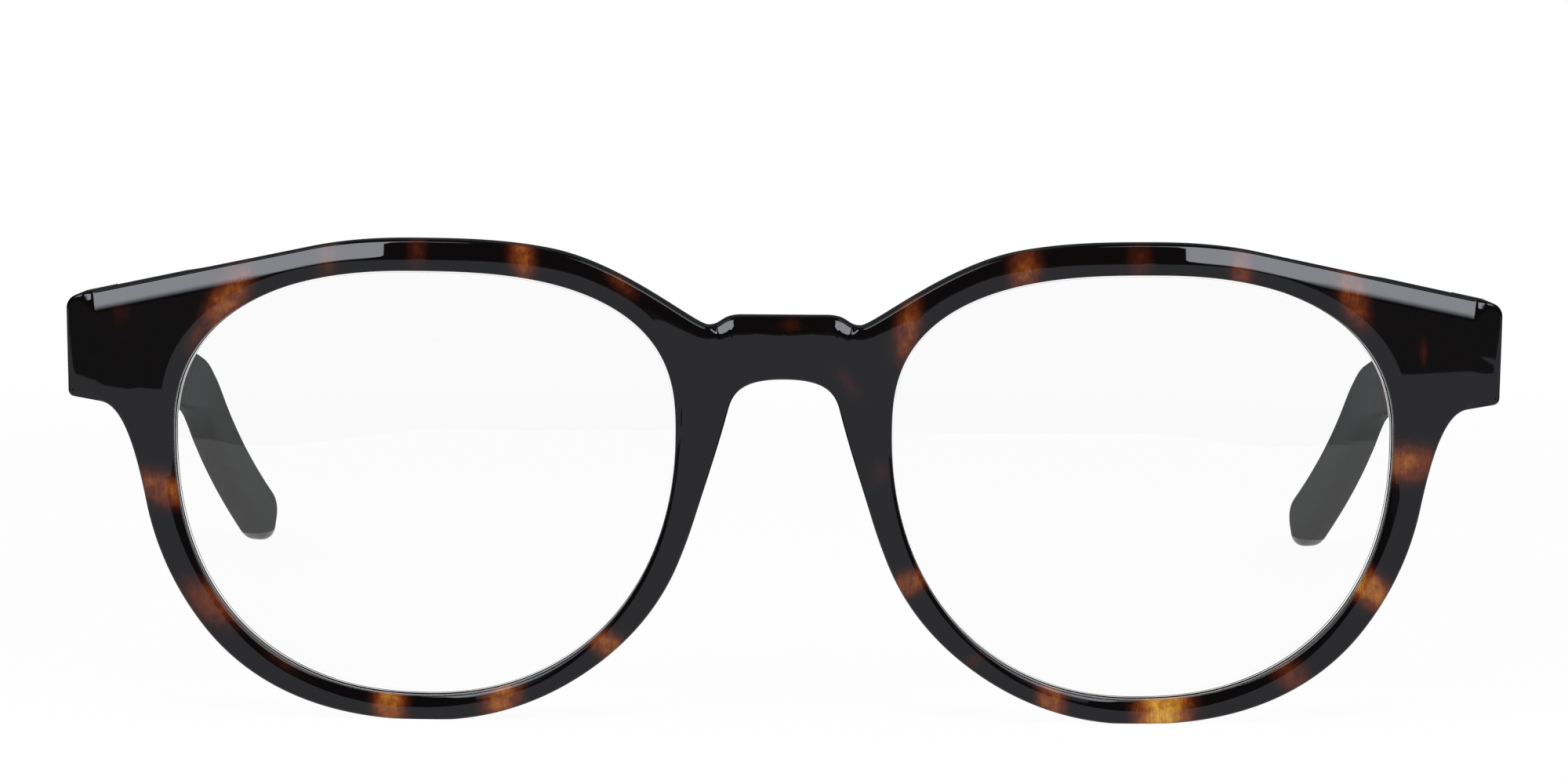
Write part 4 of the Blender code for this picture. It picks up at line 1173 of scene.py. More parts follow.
    def mesh(self, offset: float) -> bpy.types.Mesh:
        """Build the front and cut its feet.

        Args:
            offset: How far back from the layout the front stands in the row frame.

        Returns:
            The mesh of both halves.
        """
        outline, lip, edges = self.borders()
        front, back = self.chains(outline, lip, edges)
        points, faces = self.joined(self.fill(front), self.fill(back), outline, lip)
        points[:, 1] += offset
        mesh = bpy.data.meshes.new("front_half")
        mesh.from_pydata(points.tolist(), [], faces)
        shape = bmesh.new()
        shape.from_mesh(mesh)
        for vertex in shape.verts:
            if abs(vertex.co.x) < self.middle_snap:
                vertex.co.x = 0.0
        loose = [vertex for vertex in shape.verts if not vertex.link_faces]
        bmesh.ops.delete(shape, geom=loose, context="VERTS")
        whole = shape.verts[:] + shape.edges[:] + shape.faces[:]
        bmesh.ops.mirror(shape, geom=whole, axis="X", merge_dist=self.middle_merge)
        self.trim_below(shape)
        bmesh.ops.recalc_face_normals(shape, faces=shape.faces)
        shape.to_mesh(mesh)
        shape.free()
        return mesh

    def front_points(self, flat: Array, outline: Border, lip: Border) -> Array:
        """Give points of the flat layout the depth of the face in front, and bend them."""
        from_edge, values = outline.nearest(flat)
        from_lip, bevels = lip.nearest(flat)
        depth = np.maximum(bevels[:, 0] - from_lip, 0.0) * math.tan(self.bevel_tilt)
        depth = depth + self.quarter_round(from_lip, self.lip_round)
        depth = depth + self.edge_fall(from_edge, values)
        return self.bent(flat[:, 0], flat[:, 1], depth)

    def back_points(self, flat: Array, outline: Border, lip: Border) -> Array:
        """Give points of the flat layout the depth of the face behind, and bend them."""
        from_edge, _ = outline.nearest(flat)
        from_lip, _ = lip.nearest(flat)
        x = flat[:, 0]
        seat_start = self.half_width - TempleMaker.thickness - 2.0 * self.seat_rise_reach
        rise = smooth_step((x - seat_start) / self.seat_rise_reach)
        rise = rise * smooth_step(
            (from_lip - self.seat_rise_start) / (self.seat_rise_end - self.seat_rise_start)
        )
        full = self.thickness + (self.depth_to(self.mitre_backset, x) - self.thickness) * rise
        depth = full - self.quarter_round(from_lip, self.lip_round)
        return self.bent(x, flat[:, 1], depth - self.quarter_round(from_edge, self.back_round))


@dataclass
class HingeSizes:
    """The sizes of the five-barrel hinges, and of the seats that are cut for them."""

    axis_setback: float = 0.2 * MM
    barrel_radius: float = 1.4 * MM
    barrel_length: float = 1.5 * MM
    barrel_count: int = 5
    barrel_gap: float = 0.08 * MM
    barrel_clearance: float = 0.15 * MM
    leaf_sunk: float = 0.4 * MM
    leaf_clearance: float = 0.1 * MM
    front_leaf_length: float = 2.5 * MM
    temple_leaf_length: float = 9.0 * MM
    temple_leaf_setback: float = 1.4 * MM
    overrun: float = 1.0 * MM

    @property
    def pitch(self) -> float:
        """The height of one barrel with its gap."""
        return self.barrel_length + self.barrel_gap

    @property
    def stack(self) -> float:
        """The height of all barrels."""
        return self.barrel_count * self.pitch - self.barrel_gap

    @property
    def temple_leaf_height(self) -> float:
        """The height of a temple leaf's plate."""
        return self.stack - 2.0 * self.pitch


@dataclass
class TempleMaker(Maker):
    """A temple: a rounded bar that thins towards the ear, bends down and ends in a soft tip."""

    thickness: float = 4.0 * MM
    bend_thickness: float = 3.4 * MM
    tip_thickness: float = 3.7 * MM
    front_height: float = 9.6 * MM
    bend_height: float = 6.0 * MM
    tip_height: float = 6.6 * MM
    edge_radius: float = 1.0 * MM
    tip_softening: float = 0.5 * MM
    gap: float = 0.2 * MM
    shaft_length: float = 104.0 * MM
    drop: float = 8.3 * DEGREE
    shaft_inset: float = 0.7 * MM
    straight_length: float = 12.0 * MM
    section_turn_length: float = 18.0 * MM
    bend_radius: float = 42.0 * MM
    tip_length: float = 40.95 * MM
    tip_inset: float = 5.0 * MM
    tip_twist: float = 6.0 * DEGREE
    tip_round_length: float = 3.6 * MM
    tip_thinning_share: float = 0.45
    wire_radius: float = 0.65 * MM
    wire_clearance: float = 0.25 * MM
    outer_face: float = 70.6 * MM
    hinge_z: float = 36.8 * MM
    foot_flat: float = 0.12 * MM
    tip_angle: float = 40.0 * DEGREE
    steepest_tip: float = 80.0 * DEGREE
    fitting_steps: int = 40
    edge_steps: int = 7
    most_round: float = 0.8
    sections: int = 210
    coarse_sections: int = 4
    cap_angle: float = 82.0
    cap_sections: int = 14
    bore_depth: float = 6.0 * MM
    bore_sides: int = 32

    def __post_init__(self) -> None:
        """Find the tip's angle at which it just reaches the table."""
        low = self.drop
        high = self.steepest_tip
        for _ in range(self.fitting_steps):
            self.tip_angle = (low + high) / 2.0
            if self.rings(coarse=True)[..., 2].min() > -self.foot_flat:
                low = self.tip_angle
            else:
                high = self.tip_angle
        self.tip_angle = high

    @property
    def bend_reach(self) -> float:
        """The distance from the bend's middle to where it starts and ends."""
        return self.bend_radius * math.tan((self.tip_angle - self.drop) / 2.0)

    @property
    def bend_start(self) -> float:
        """How far along the temple its bend starts."""
        return self.shaft_length - self.bend_reach

    @property
    def bend_end(self) -> float:
        """How far along the temple its bend ends."""
        return self.bend_start + self.bend_radius * (self.tip_angle - self.drop)

    @property
    def length(self) -> float:
        """The length of the temple along its middle."""
        return self.bend_end + self.tip_length - self.bend_reach

    def slope(self, s: float) -> float:
        """How steeply the temple runs down at a distance along it."""
        if s <= self.bend_start:
            return self.drop
        return min(self.tip_angle, self.drop + (s - self.bend_start) / self.bend_radius)

    def centre(self, s: float) -> Vector:
        """The middle of the temple at a distance along it, from its mitred end."""
        straight = min(s, self.bend_start)
        y = straight * math.cos(self.drop)
        z = -straight * math.sin(self.drop)
        if s > self.bend_start:
            slope = self.slope(s)
            y += self.bend_radius * (math.sin(slope) - math.sin(self.drop))
            z += self.bend_radius * (math.cos(slope) - math.cos(self.drop))
        beyond = max(0.0, s - self.bend_end)
        y += beyond * math.cos(self.tip_angle)
        z -= beyond * math.sin(self.tip_angle)
        along = (s - self.straight_length) / (self.shaft_length - self.straight_length)
        inset = self.shaft_inset * float(smooth_step(np.array(along)))
        tip_reach = self.length - self.bend_start
        inset += self.tip_inset * (max(0.0, s - self.bend_start) / tip_reach) ** 2
        x = self.outer_face - self.thickness / 2.0 - inset
        return Vector((x, y, self.hinge_z + z))

    def frame(self, s: float) -> tuple[Vector, Vector]:
        """The sideways and upward directions of the section at a distance along the temple."""
        slope = self.slope(s) * min(1.0, max(0.0, s) / self.section_turn_length)
        up = Vector((0.0, math.sin(slope), math.cos(slope)))
        side = Vector((1.0, 0.0, 0.0))
        twist = self.tip_twist * float(smooth_step(np.array(s / self.length)))
        return (
            side * math.cos(twist) + up * math.sin(twist),
            up * math.cos(twist) - side * math.sin(twist),
        )

    def half_size(self, s: float) -> tuple[float, float]:
        """Half the thickness and half the height of the section."""
        if s <= self.shaft_length:
            share = max(0.0, s) / self.shaft_length
            wide = self.thickness + (self.bend_thickness - self.thickness) * share
            high = self.front_height + (self.bend_height - self.front_height) * share
            return wide / 2.0, high / 2.0
        share = (s - self.shaft_length) / (self.length - self.shaft_length)
        wide = self.bend_thickness + (self.tip_thickness - self.bend_thickness) * share
        high = self.bend_height + (self.tip_height - self.bend_height) * share
        return wide / 2.0, high / 2.0

    def ring(self, s: float, thin: float = 1.0, low: float = 1.0) -> Array:
        """The rounded section at a distance along the temple.

        Args:
            s: The distance from the mitred end.
            thin: The share of the thickness that is kept.
            low: The share of the height that is kept.

        Returns:
            The points of the section, with as many to each rounded edge as to each flat.
        """
        side, up = self.frame(s)
        steps = self.edge_steps
        half_wide, half_high = self.half_size(s)
        half_wide *= thin
        half_high *= low
        past_shaft = np.array((s - self.shaft_length) / self.tip_length)
        radius = min(
            self.edge_radius + self.tip_softening * float(smooth_step(past_shaft)),
            self.most_round * half_wide,
            self.most_round * half_high,
        )
        flat: list[tuple[float, float]] = []
        signs = ((1.0, 1.0), (-1.0, 1.0), (-1.0, -1.0), (1.0, -1.0))

        def round_point(sign: tuple[float, float], quarters: float) -> tuple[float, float]:
            """A point of one rounded edge, after some quarters of a turn."""
            turn = quarters * math.pi / 2.0
            across = sign[0] * (half_wide - radius) + radius * math.cos(turn)
            return across, sign[1] * (half_high - radius) + radius * math.sin(turn)

        for quarter, sign in enumerate(signs):
            flat += [round_point(sign, quarter + k / steps) for k in range(steps + 1)]
            begin = flat[-1]
            end = round_point(signs[(quarter + 1) % 4], quarter + 1)
            for k in range(1, steps):
                share = k / steps
                across = begin[0] + (end[0] - begin[0]) * share
                flat.append((across, begin[1] + (end[1] - begin[1]) * share))
        middle = self.centre(s)
        return np.array([middle + side * across + up * rise for across, rise in flat])

    def rings(self, coarse: bool = False) -> Array:
        """All sections, from the mitred end to the rounded tip.

        Args:
            coarse: Whether only the lowest part of the tip matters.

        Returns:
            Points by section and place in it.
        """
        tip_start = self.length - self.tip_round_length
        count = self.coarse_sections if coarse else self.sections
        rings = [self.ring(tip_start * k / count) for k in range(count + 1)]
        for angle in np.linspace(0.0, self.cap_angle, self.cap_sections)[1:] * DEGREE:
            narrow = math.cos(angle)
            thin = 1.0 - (1.0 - narrow) * self.tip_thinning_share
            s = tip_start + self.tip_round_length * math.sin(angle)
            rings.append(self.ring(s, thin, narrow))
        return np.array(rings)

    def mesh(self, start_y: float, hinge: HingeSizes, inner_face: float) -> bpy.types.Mesh:
        """Loft the left temple, stand it on the table and cut the seat of its hinge leaf.

        Args:
            start_y: Where its mitred end lies in the row frame.
            hinge: The sizes of the hinge.
            inner_face: How far the temple's inner face lies from the middle.

        Returns:
            The mesh.
        """
        rings = self.rings()
        rings[..., 1] += start_y
        shape, rows = self.loft(rings)
        shape.faces.new(rows[0])
        shape.faces.new(rows[-1])
        self.trim_below(shape)
        mesh = self.closed(shape, "temple")
        half = hinge.temple_leaf_height / 2.0 + hinge.leaf_clearance
        end = hinge.temple_leaf_setback + hinge.temple_leaf_length
        turn = Matrix.Translation((inner_face, start_y, self.hinge_z)) @ Matrix.Rotation(
            -self.drop, 4, "X"
        )
        pocket = self.box_mesh(
            Vector((-hinge.overrun, hinge.temple_leaf_setback - hinge.leaf_clearance, -half)),
            Vector((hinge.leaf_sunk + hinge.leaf_clearance, end + hinge.leaf_clearance, half)),
            turn,
        )
        return self.cut(self.cut(mesh, pocket), self.bore(start_y))

    def bore(self, start_y: float) -> bmesh.types.BMesh:
        """The mouth of the hole that the core wire was shot into."""
        shape = bmesh.new()
        radius = self.wire_radius + self.wire_clearance
        bmesh.ops.create_cone(
            shape,
            cap_ends=True,
            segments=self.bore_sides,
            radius1=radius,
            radius2=radius,
            depth=2.0 * self.bore_depth,
        )
        turn = Matrix.Rotation(math.pi / 2.0 - self.drop, 4, "X")
        middle = self.centre(0.0)
        place = Matrix.Translation((middle.x, start_y, middle.z))
        bmesh.ops.transform(shape, matrix=place @ turn, verts=shape.verts)
        return shape

    def pattern(self, start_y: float, spots: tuple[tuple[float, ...], ...]) -> Pattern:
        """Place the patches of a temple.

        Args:
            start_y: Where its mitred end lies in the row frame.
            spots: For each patch the distance along the temple, the height over its middle,
                both half sizes, the lean and the strength, in millimetres and degrees.

        Returns:
            The pattern, in the plane that the temple bends in.
        """
        patches = []
        for s, height, long, wide, lean, strength in spots:
            place = self.centre(s * MM) + self.frame(s * MM)[1] * height * MM
            slope = self.slope(s * MM) / DEGREE
            patches.append(
                Patch((place.y + start_y) / MM, place.z / MM, long, wide, lean - slope, strength)
            )
        return Pattern(tuple(patches), axes=(1, 2))


@dataclass
class LensMaker(Maker):
    """A lens: two round faces, and an edge bevel that sits in the front's groove."""

    curve_radius: float = 260.0 * MM
    thickness: float = 2.0 * MM
    bevel_width: float = 0.9 * MM
    clearance: float = 0.2 * MM
    sides: int = 220
    rings_across: int = 14

    def mesh(self, front: FrontMaker, offset: float) -> bpy.types.Mesh:
        """Make the left lens.

        Args:
            front: The front that holds it.
            offset: How far back from the layout the front stands.

        Returns:
            The mesh.
        """
        eye = front.eye
        lean = 1.0 / self.curve_radius - 1.0 / front.bend_radius
        sag = (eye.width / 2.0) ** 2 / 2.0 * lean
        crown = front.groove_backset - self.thickness / 2.0 - sag
        angles = np.arange(self.sides) * 360.0 / self.sides
        lip = eye.point(angles)
        normal = eye.normal(angles)
        inner = lip - normal * self.clearance
        middle = np.array((eye.centre_x, 0.0))
        centre_depth = np.array(crown + self.curve_radius)
        centre = front.bent(np.array(middle[0]), np.array(0.0), centre_depth)

        def face_ring(share: float, radius: float) -> Array:
            """Find a ring of a round face.

            Args:
                share: How far out it lies, from 0 at the middle to 1 at the edge.
                radius: The radius of the face.

            Returns:
                Its points.
            """
            flat = middle + (inner - middle) * share
            start = front.bent(flat[:, 0], flat[:, 1], np.zeros(self.sides))
            deep = front.bent(flat[:, 0], flat[:, 1], np.full(self.sides, self.thickness))
            way = unit(deep - start)
            gap = start - centre
            half = (gap * way).sum(axis=1)
            reach = half * half - (gap * gap).sum(axis=1) + radius * radius
            return start + way * (-half - np.sqrt(reach))[:, None]

        def edge_ring(rise: float, depth: float) -> Array:
            """A ring of the edge, which rises out of the lip at a depth in the front."""
            flat = lip + normal * rise
            return front.bent(flat[:, 0], flat[:, 1], np.full(self.sides, depth))

        shares = np.linspace(1.0, 0.0, self.rings_across + 1)[:-1]
        back_radius = self.curve_radius - self.thickness
        flank_gap = 2.0 * self.clearance * front.groove_depth / front.groove_width
        rings = [face_ring(share, self.curve_radius) for share in shares[::-1]]
        rings.append(edge_ring(-self.clearance, front.groove_backset - self.bevel_width / 2.0))
        rings.append(edge_ring(front.groove_depth - flank_gap, front.groove_backset))
        rings.append(edge_ring(-self.clearance, front.groove_backset + self.bevel_width / 2.0))
        rings += [face_ring(share, back_radius) for share in shares]
        for ring in rings:
            ring[:, 1] += offset
        shape, rows = self.loft(rings)
        for row, radius in ((rows[0], self.curve_radius), (rows[-1], back_radius)):
            tip_place = face_ring(0.0, radius)[0]
            tip_place[1] += offset
            tip = shape.verts.new(tip_place)
            for k in range(self.sides):
                shape.faces.new((row[k], row[(k + 1) % self.sides], tip))
        return self.closed(shape, "lens")


@dataclass
class NosePadMaker(Maker):
    """A nose pad: half an ellipsoid of acetate, bonded to the back of the rim and buffed."""

    angle: float = 198.0
    length: float = 12.5 * MM
    width: float = 2.4 * MM
    depth: float = 3.6 * MM
    flare: float = 0.5 * MM
    bond_gap: float = 0.15 * MM
    sides: int = 64
    rings: int = 40

    def mesh(self, front: FrontMaker, offset: float) -> bpy.types.Mesh:
        """Make the left pad.

        Args:
            front: The front that it is bonded to.
            offset: How far back from the layout the front stands.

        Returns:
            The mesh.
        """
        normal = front.eye.normal(self.angle)
        rim = front.eye.point(self.angle) + normal * front.rim_width(self.angle) / 2.0
        way = np.array((-normal[1], normal[0]))
        shape = bmesh.new()
        bmesh.ops.create_uvsphere(shape, u_segments=self.sides, v_segments=self.rings, radius=1.0)
        self.trim_below(shape)
        for vertex in shape.verts:
            lengthwise, across, deep = vertex.co
            place = rim + way * lengthwise * self.length / 2.0
            place = place + normal * (across * self.width / 2.0 - deep * self.flare)
            depth = np.array(front.thickness + self.bond_gap + deep * self.depth)
            vertex.co = front.bent(place[0], place[1], depth)
            vertex.co.y += offset
        return self.closed(shape, "nose_pad")


FRONT_PATCHES = (
    Patch(-36.3, 47.0, 2.8, 1.2, 90.0, 0.5),
    Patch(-25.9, 46.2, 3.4, 1.6, 97.0, 0.8),
    Patch(-16.1, 43.6, 2.6, 1.0, -42.0, 0.55),
    Patch(-55.1, 41.6, 4.6, 2.0, 57.0, 0.85),
    Patch(-58.1, 37.9, 2.6, 1.2, 64.0, 0.5),
    Patch(-45.1, 45.8, 3.0, 1.4, 84.0, 0.5),
    Patch(-65.7, 40.2, 2.2, 1.5, 90.0, 0.3),
    Patch(-61.5, 22.7, 4.4, 2.0, -22.0, 0.8),
    Patch(-56.8, 11.4, 4.0, 2.2, -35.0, 0.7),
    Patch(-49.9, 5.8, 3.0, 0.9, -38.0, 0.36),
    Patch(-39.0, 1.5, 4.0, 2.0, 90.0, 1.0),
    Patch(-27.8, 2.3, 3.4, 2.2, 68.0, 0.9),
    Patch(-17.2, 7.6, 3.4, 1.7, -30.0, 0.86),
    Patch(0.6, 39.6, 1.6, 1.0, 0.0, 0.34),
    Patch(12.2, 39.3, 4.6, 1.7, 84.0, 0.72),
    Patch(6.3, 33.9, 2.4, 0.9, -55.0, 0.36),
    Patch(23.7, 45.0, 3.4, 2.0, 86.0, 0.75),
    Patch(35.0, 46.1, 2.8, 1.6, 90.0, 0.45),
    Patch(45.1, 45.0, 3.0, 1.5, 92.0, 0.66),
    Patch(56.2, 42.7, 4.2, 1.8, -74.0, 0.72),
    Patch(63.2, 37.1, 1.9, 0.5, 90.0, 0.5),
    Patch(61.9, 26.0, 4.4, 2.3, 0.0, 0.82),
    Patch(58.0, 13.7, 4.6, 2.0, -40.0, 1.0),
    Patch(50.7, 4.7, 3.6, 2.0, -45.0, 0.6),
    Patch(37.9, 1.3, 4.6, 3.2, 90.0, 1.25),
    Patch(26.7, 2.3, 3.4, 1.8, 95.0, 0.86),
    Patch(18.9, 6.1, 2.0, 1.0, 40.0, 0.36),
    Patch(12.4, 14.0, 3.2, 1.6, 25.0, 0.78),
    Patch(9.5, 25.0, 1.6, 1.2, 70.0, 0.36),
)

TEMPLE_SPOTS = {
    Side.LEFT: (
        (5.0, -1.5, 4.0, 2.2, 65.0, 0.75),
        (17.0, 2.0, 3.2, 1.8, 100.0, 0.5),
        (27.0, -0.5, 5.0, 2.6, 80.0, 0.95),
        (39.0, 1.5, 2.6, 1.6, 60.0, 0.45),
        (48.0, -1.5, 4.0, 2.0, 95.0, 0.8),
        (60.0, 0.5, 3.6, 1.6, 70.0, 0.5),
        (71.0, 0.0, 4.0, 2.2, 85.0, 0.85),
        (86.0, 1.0, 2.4, 1.4, 60.0, 0.36),
        (104.0, -1.0, 2.6, 1.2, 90.0, 0.32),
        (124.0, 0.5, 3.0, 1.6, 75.0, 0.4),
    ),
    Side.RIGHT: (
        (8.0, 1.0, 3.6, 2.0, 80.0, 0.6),
        (20.0, -1.0, 4.4, 2.4, 70.0, 0.9),
        (33.0, 1.5, 3.0, 1.6, 95.0, 0.45),
        (44.0, 0.0, 4.4, 2.2, 75.0, 0.85),
        (57.0, -1.5, 3.0, 1.8, 60.0, 0.6),
        (68.0, 1.0, 3.6, 2.0, 90.0, 0.75),
        (80.0, -0.5, 1.6, 1.2, 0.0, 0.4),
        (97.0, 0.5, 2.6, 1.4, 80.0, 0.34),
        (118.0, -0.5, 3.0, 1.4, 70.0, 0.4),
    ),
}


@dataclass
class Spectacles(Maker):
    """The whole pair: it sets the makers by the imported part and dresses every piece."""

    front: FrontMaker = field(default_factory=FrontMaker)
    hinge: HingeSizes = field(default_factory=HingeSizes)
    lens: LensMaker = field(default_factory=LensMaker)
    pad: NosePadMaker = field(default_factory=NosePadMaker)
    acetate: AcetateFinish = field(default_factory=AcetateFinish)
    clear: LensFinish = field(default_factory=LensFinish)
    plating: PlatedSteelFinish = field(default_factory=PlatedSteelFinish)

    def build(self, frame: dict[str, Any]) -> None:
        """Make every piece that stands for a node, and dress the nodes that stay.
        """
        low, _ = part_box("front")
        offset = low.y
        side_x = np.array(self.front.half_width)
        depth = np.array(float(self.front.depth_to(self.front.mitre_backset, side_x)))
        outer_face = float(self.front.bent(side_x, np.array(0.0), depth)[0])
        inner_face = outer_face - TempleMaker.thickness
        hinge_z = self.front.centre_z + (self.front.end_top + self.front.end_bottom) / 2.0
        front_acetate = self.acetate.material()
        temple_acetate = self.acetate.material(fibre_axis=1)
        clear = self.clear.material()
        plating = self.plating.material()

        self.build_front(offset, inner_face, hinge_z, front_acetate)
        temple = TempleMaker(outer_face=outer_face, hinge_z=hinge_z)
        start_y = offset + self.front.mitre_backset + temple.gap
        temple_mesh = temple.mesh(start_y, self.hinge, inner_face)
        lens_mesh = self.lens.mesh(self.front, offset)
        pad_mesh = self.pad.mesh(self.front, offset)
        for side in Side:
            spots = temple.pattern(start_y, TEMPLE_SPOTS[side])
            self.place(side, "temple", temple_mesh, temple_acetate, f"temple_{side.suffix}", spots)
            self.place(side, "lens", lens_mesh, clear, "front", None)
            self.place(side, "nose_pad", pad_mesh, front_acetate, "front", Pattern(FRONT_PATCHES))
        for name, node in frame["nodes"].items():
            if "hinge" in name or "core" in name:
                node.data.materials.clear()
                node.data.materials.append(plating)
                LOG.info("dressed %s", name)

    def build_front(
        self, offset: float, inner_face: float, hinge_z: float, finish: bpy.types.Material
    ) -> None:
        """Make the front and cut the seats of its hinges.

        Args:
            offset: How far back from the layout the front stands.
            inner_face: How far a temple's inner face lies from the middle.
            hinge_z: The height of the hinges' middles.
            finish: The acetate.
        """
        front = self.front
        hinge = self.hinge
        mesh = front.mesh(offset)
        axis_y = offset + front.mitre_backset - hinge.axis_setback
        seat_y = axis_y - hinge.barrel_radius - hinge.leaf_clearance
        seat_x = front.half_width - TempleMaker.thickness - 2.0 * front.seat_rise_reach
        leaf_end = inner_face - 2.0 * (hinge.barrel_clearance + hinge.barrel_radius)
        behind = offset + front.mitre_backset + hinge.overrun
        half = hinge.stack / 2.0 + hinge.leaf_clearance
        above = front.centre_z + front.eye.height
        for side in Side:
            low = Vector((seat_x, seat_y, 0.0))
            high = Vector((inner_face, behind, above))
            mesh = self.cut(mesh, self.box_mesh(low, high, side.mirror()))
            pocket_x = leaf_end - hinge.front_leaf_length - hinge.leaf_clearance
            pocket_y = seat_y - hinge.leaf_sunk - hinge.leaf_clearance
            low = Vector((pocket_x, pocket_y, hinge_z - half))
            high = Vector((leaf_end + hinge.leaf_clearance, seat_y + hinge.overrun, hinge_z + half))
            mesh = self.cut(mesh, self.box_mesh(low, high, side.mirror()))
        self.paint(mesh, Pattern(FRONT_PATCHES))
        made = self.link("acetate_front", mesh, finish)
        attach(made, "front")
        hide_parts("front")
        LOG.info("made acetate_front with %d points", len(mesh.vertices))

    def place(
        self,
        side: Side,
        kind: str,
        mesh: bpy.types.Mesh,
        finish: bpy.types.Material,
        body: str,
        pattern: Pattern | None,
    ) -> None:
        """Carry a left piece to its side and let it stand for its node.

        Args:
            side: The side that it goes to.
            kind: The start of its node's name.
            mesh: The mesh for the left side.
            finish: Its material.
            body: The body that it rides on.
            pattern: Its patches, if it is acetate.
        """
        own = mesh.copy()
        if side is Side.RIGHT:
            own.transform(side.mirror())
            own.flip_normals()
        if pattern:
            self.paint(own, pattern)
        node = f"{kind}_{side.suffix}"
        made = self.link(f"{node}_fine", own, finish)
        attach(made, body)
        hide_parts(node)
        LOG.info("made %s", made.name)


class Hang(Enum):
    """How a card hangs: upright and square to the front, or level."""

    UPRIGHT = "upright"
    LEVEL = "level"


@dataclass(frozen=True)
class Card:
    """A flat panel that only gloss sees, at a place in y when upright and in z when level.

    It runs from low to high in x and, upright, in z, or, level, in y. All are metres, y from
    the front and z from the table. Its light grows to full over the fade, from the low edge up.
    """

    name: str
    low: tuple[float, float]
    high: tuple[float, float]
    place: float
    hang: Hang
    strength: float
    fade: float = 0.0
    colour: str = WHITE


@dataclass
class Studio:
    """A plain white studio: a pale floor, two soft boxes and a dark room behind the camera."""

    camera_distance: float = 646.0 * MM
    camera_height: float = 98.7 * MM
    aim_height: float = 33.0 * MM
    focal_length: float = 151.1
    sensor_width: float = 36.0
    roll: float = 0.36 * DEGREE
    floor_size: float = 6.0
    floor_drop: float = 0.05 * MM
    floor_glow: float = 0.95
    floor_shade_reach: float = 260.0 * MM
    floor_shade_share: float = 0.6
    floor_paper: str = "f4f4f4"
    floor_gloss: float = 0.66
    cloth_gloss: float = 0.11
    cloth_edge: tuple[tuple[float, float], ...] = (
        (1.5, 0.36),
        (0.2, 0.352),
        (0.188, 0.356),
        (0.1838, 0.364),
        (0.183, 0.347),
        (0.181, 0.3375),
        (0.1765, 0.3365),
        (0.1745, 0.341),
        (0.17, 0.341),
        (0.158, 0.339),
        (0.15, 0.343),
        (0.142, 0.342),
        (0.135, 0.356),
        (0.11, 0.44),
        (-0.105, 0.44),
        (-0.142, 0.312),
        (-0.149, 0.306),
        (-0.1535, 0.3075),
        (-0.1555, 0.3045),
        (-0.1575, 0.306),
        (-0.1625, 0.3085),
        (-0.1685, 0.3165),
        (-0.18, 0.33),
        (-1.5, 0.37),
    )
    lamp_distance: float = 700.0 * MM
    lamp_azimuth: float = 22.0 * DEGREE
    lamp_elevation: float = 45.0 * DEGREE
    lamp_size: float = 380.0 * MM
    lamp_power: float = 2.4
    ambient: float = 0.4
    room_gloss: float = 0.035
    cards: tuple[Card, ...] = (
        Card("soft_box_left", (0.222, 0.2), (0.58, 1.25), -0.8, Hang.UPRIGHT, 6.7, 0.35),
        Card("soft_box_right", (-0.58, 0.2), (-0.222, 1.25), -0.8, Hang.UPRIGHT, 6.7, 0.35),
        Card("top_light_left", (0.35, -0.1), (1.1, 0.4), 1.2, Hang.LEVEL, 1.2),
        Card("top_light_right", (-1.1, -0.1), (-0.35, 0.4), 1.2, Hang.LEVEL, 1.2),
        Card("back_paper", (-1.5, 0.0), (1.5, 0.9), 1.2, Hang.UPRIGHT, 0.05, 0.0, PAPER),
        Card("back_floor", (-1.5, 0.03), (1.5, 1.2), 0.001, Hang.LEVEL, 0.06, 0.0, PAPER),
    )

    def build(self, front_y: float) -> None:
        """Make the whole studio round a front that stands at a depth."""
        self.set_world()
        self.lay_floor(front_y)
        self.lay_cloth(front_y)
        for card in self.cards:
            self.hang_card(card, front_y)
        for side in Side:
            self.hang_lamp(side, front_y)
        self.set_camera(front_y)

    def ray_share(self, tree: bpy.types.NodeTree, *kinds: str) -> bpy.types.NodeSocket:
        """Tell whether a ray is of one of some kinds.

        Args:
            tree: The node tree that asks.
            *kinds: The names of Light Path's outputs.

        Returns:
            A socket that gives 1 or 0.
        """
        ray = add_node(tree, "LightPath").outputs
        seen = ray[kinds[0]]
        for kind in kinds[1:]:
            seen = add_node(tree, "Math", {0: seen, 1: ray[kind]}, operation="MAXIMUM").outputs[0]
        return seen

    def set_world(self) -> None:
        """A white surround for the camera, a dark one for gloss and an even one for light."""
        world = bpy.data.worlds.new("studio_air")
        bpy.context.scene.world = world
        world.use_nodes = True
        tree = world.node_tree
        tree.nodes.clear()
        gloss = self.ray_share(tree, "Is Glossy Ray")
        seen = self.ray_share(tree, "Is Camera Ray", "Is Transmission Ray")
        unseen = add_node(
            tree, "MapRange", {"Value": gloss, "To Min": self.ambient, "To Max": self.room_gloss}
        )
        level = add_node(tree, "MapRange", {"Value": seen, "To Min": unseen, "To Max": 1.0})
        air = add_node(tree, "Background", {"Color": linear(WHITE), "Strength": level})
        add_node(tree, "OutputWorld", {"Surface": air})

    def sheet(
        self,
        name: str,
        corners: tuple[tuple[float, float, float], ...],
        finish: bpy.types.Material,
    ) -> bpy.types.Object:
        """Make a flat staged sheet.

        Args:
            name: What it is.
            corners: Its corners.
            finish: Its material.

        Returns:
            The sheet.
        """
        mesh = bpy.data.meshes.new(name)
        mesh.from_pydata(corners, [], [tuple(range(len(corners)))])
        mesh.materials.append(finish)
        made = bpy.data.objects.new(name, mesh)
        bpy.context.scene.collection.objects.link(made)
        return made

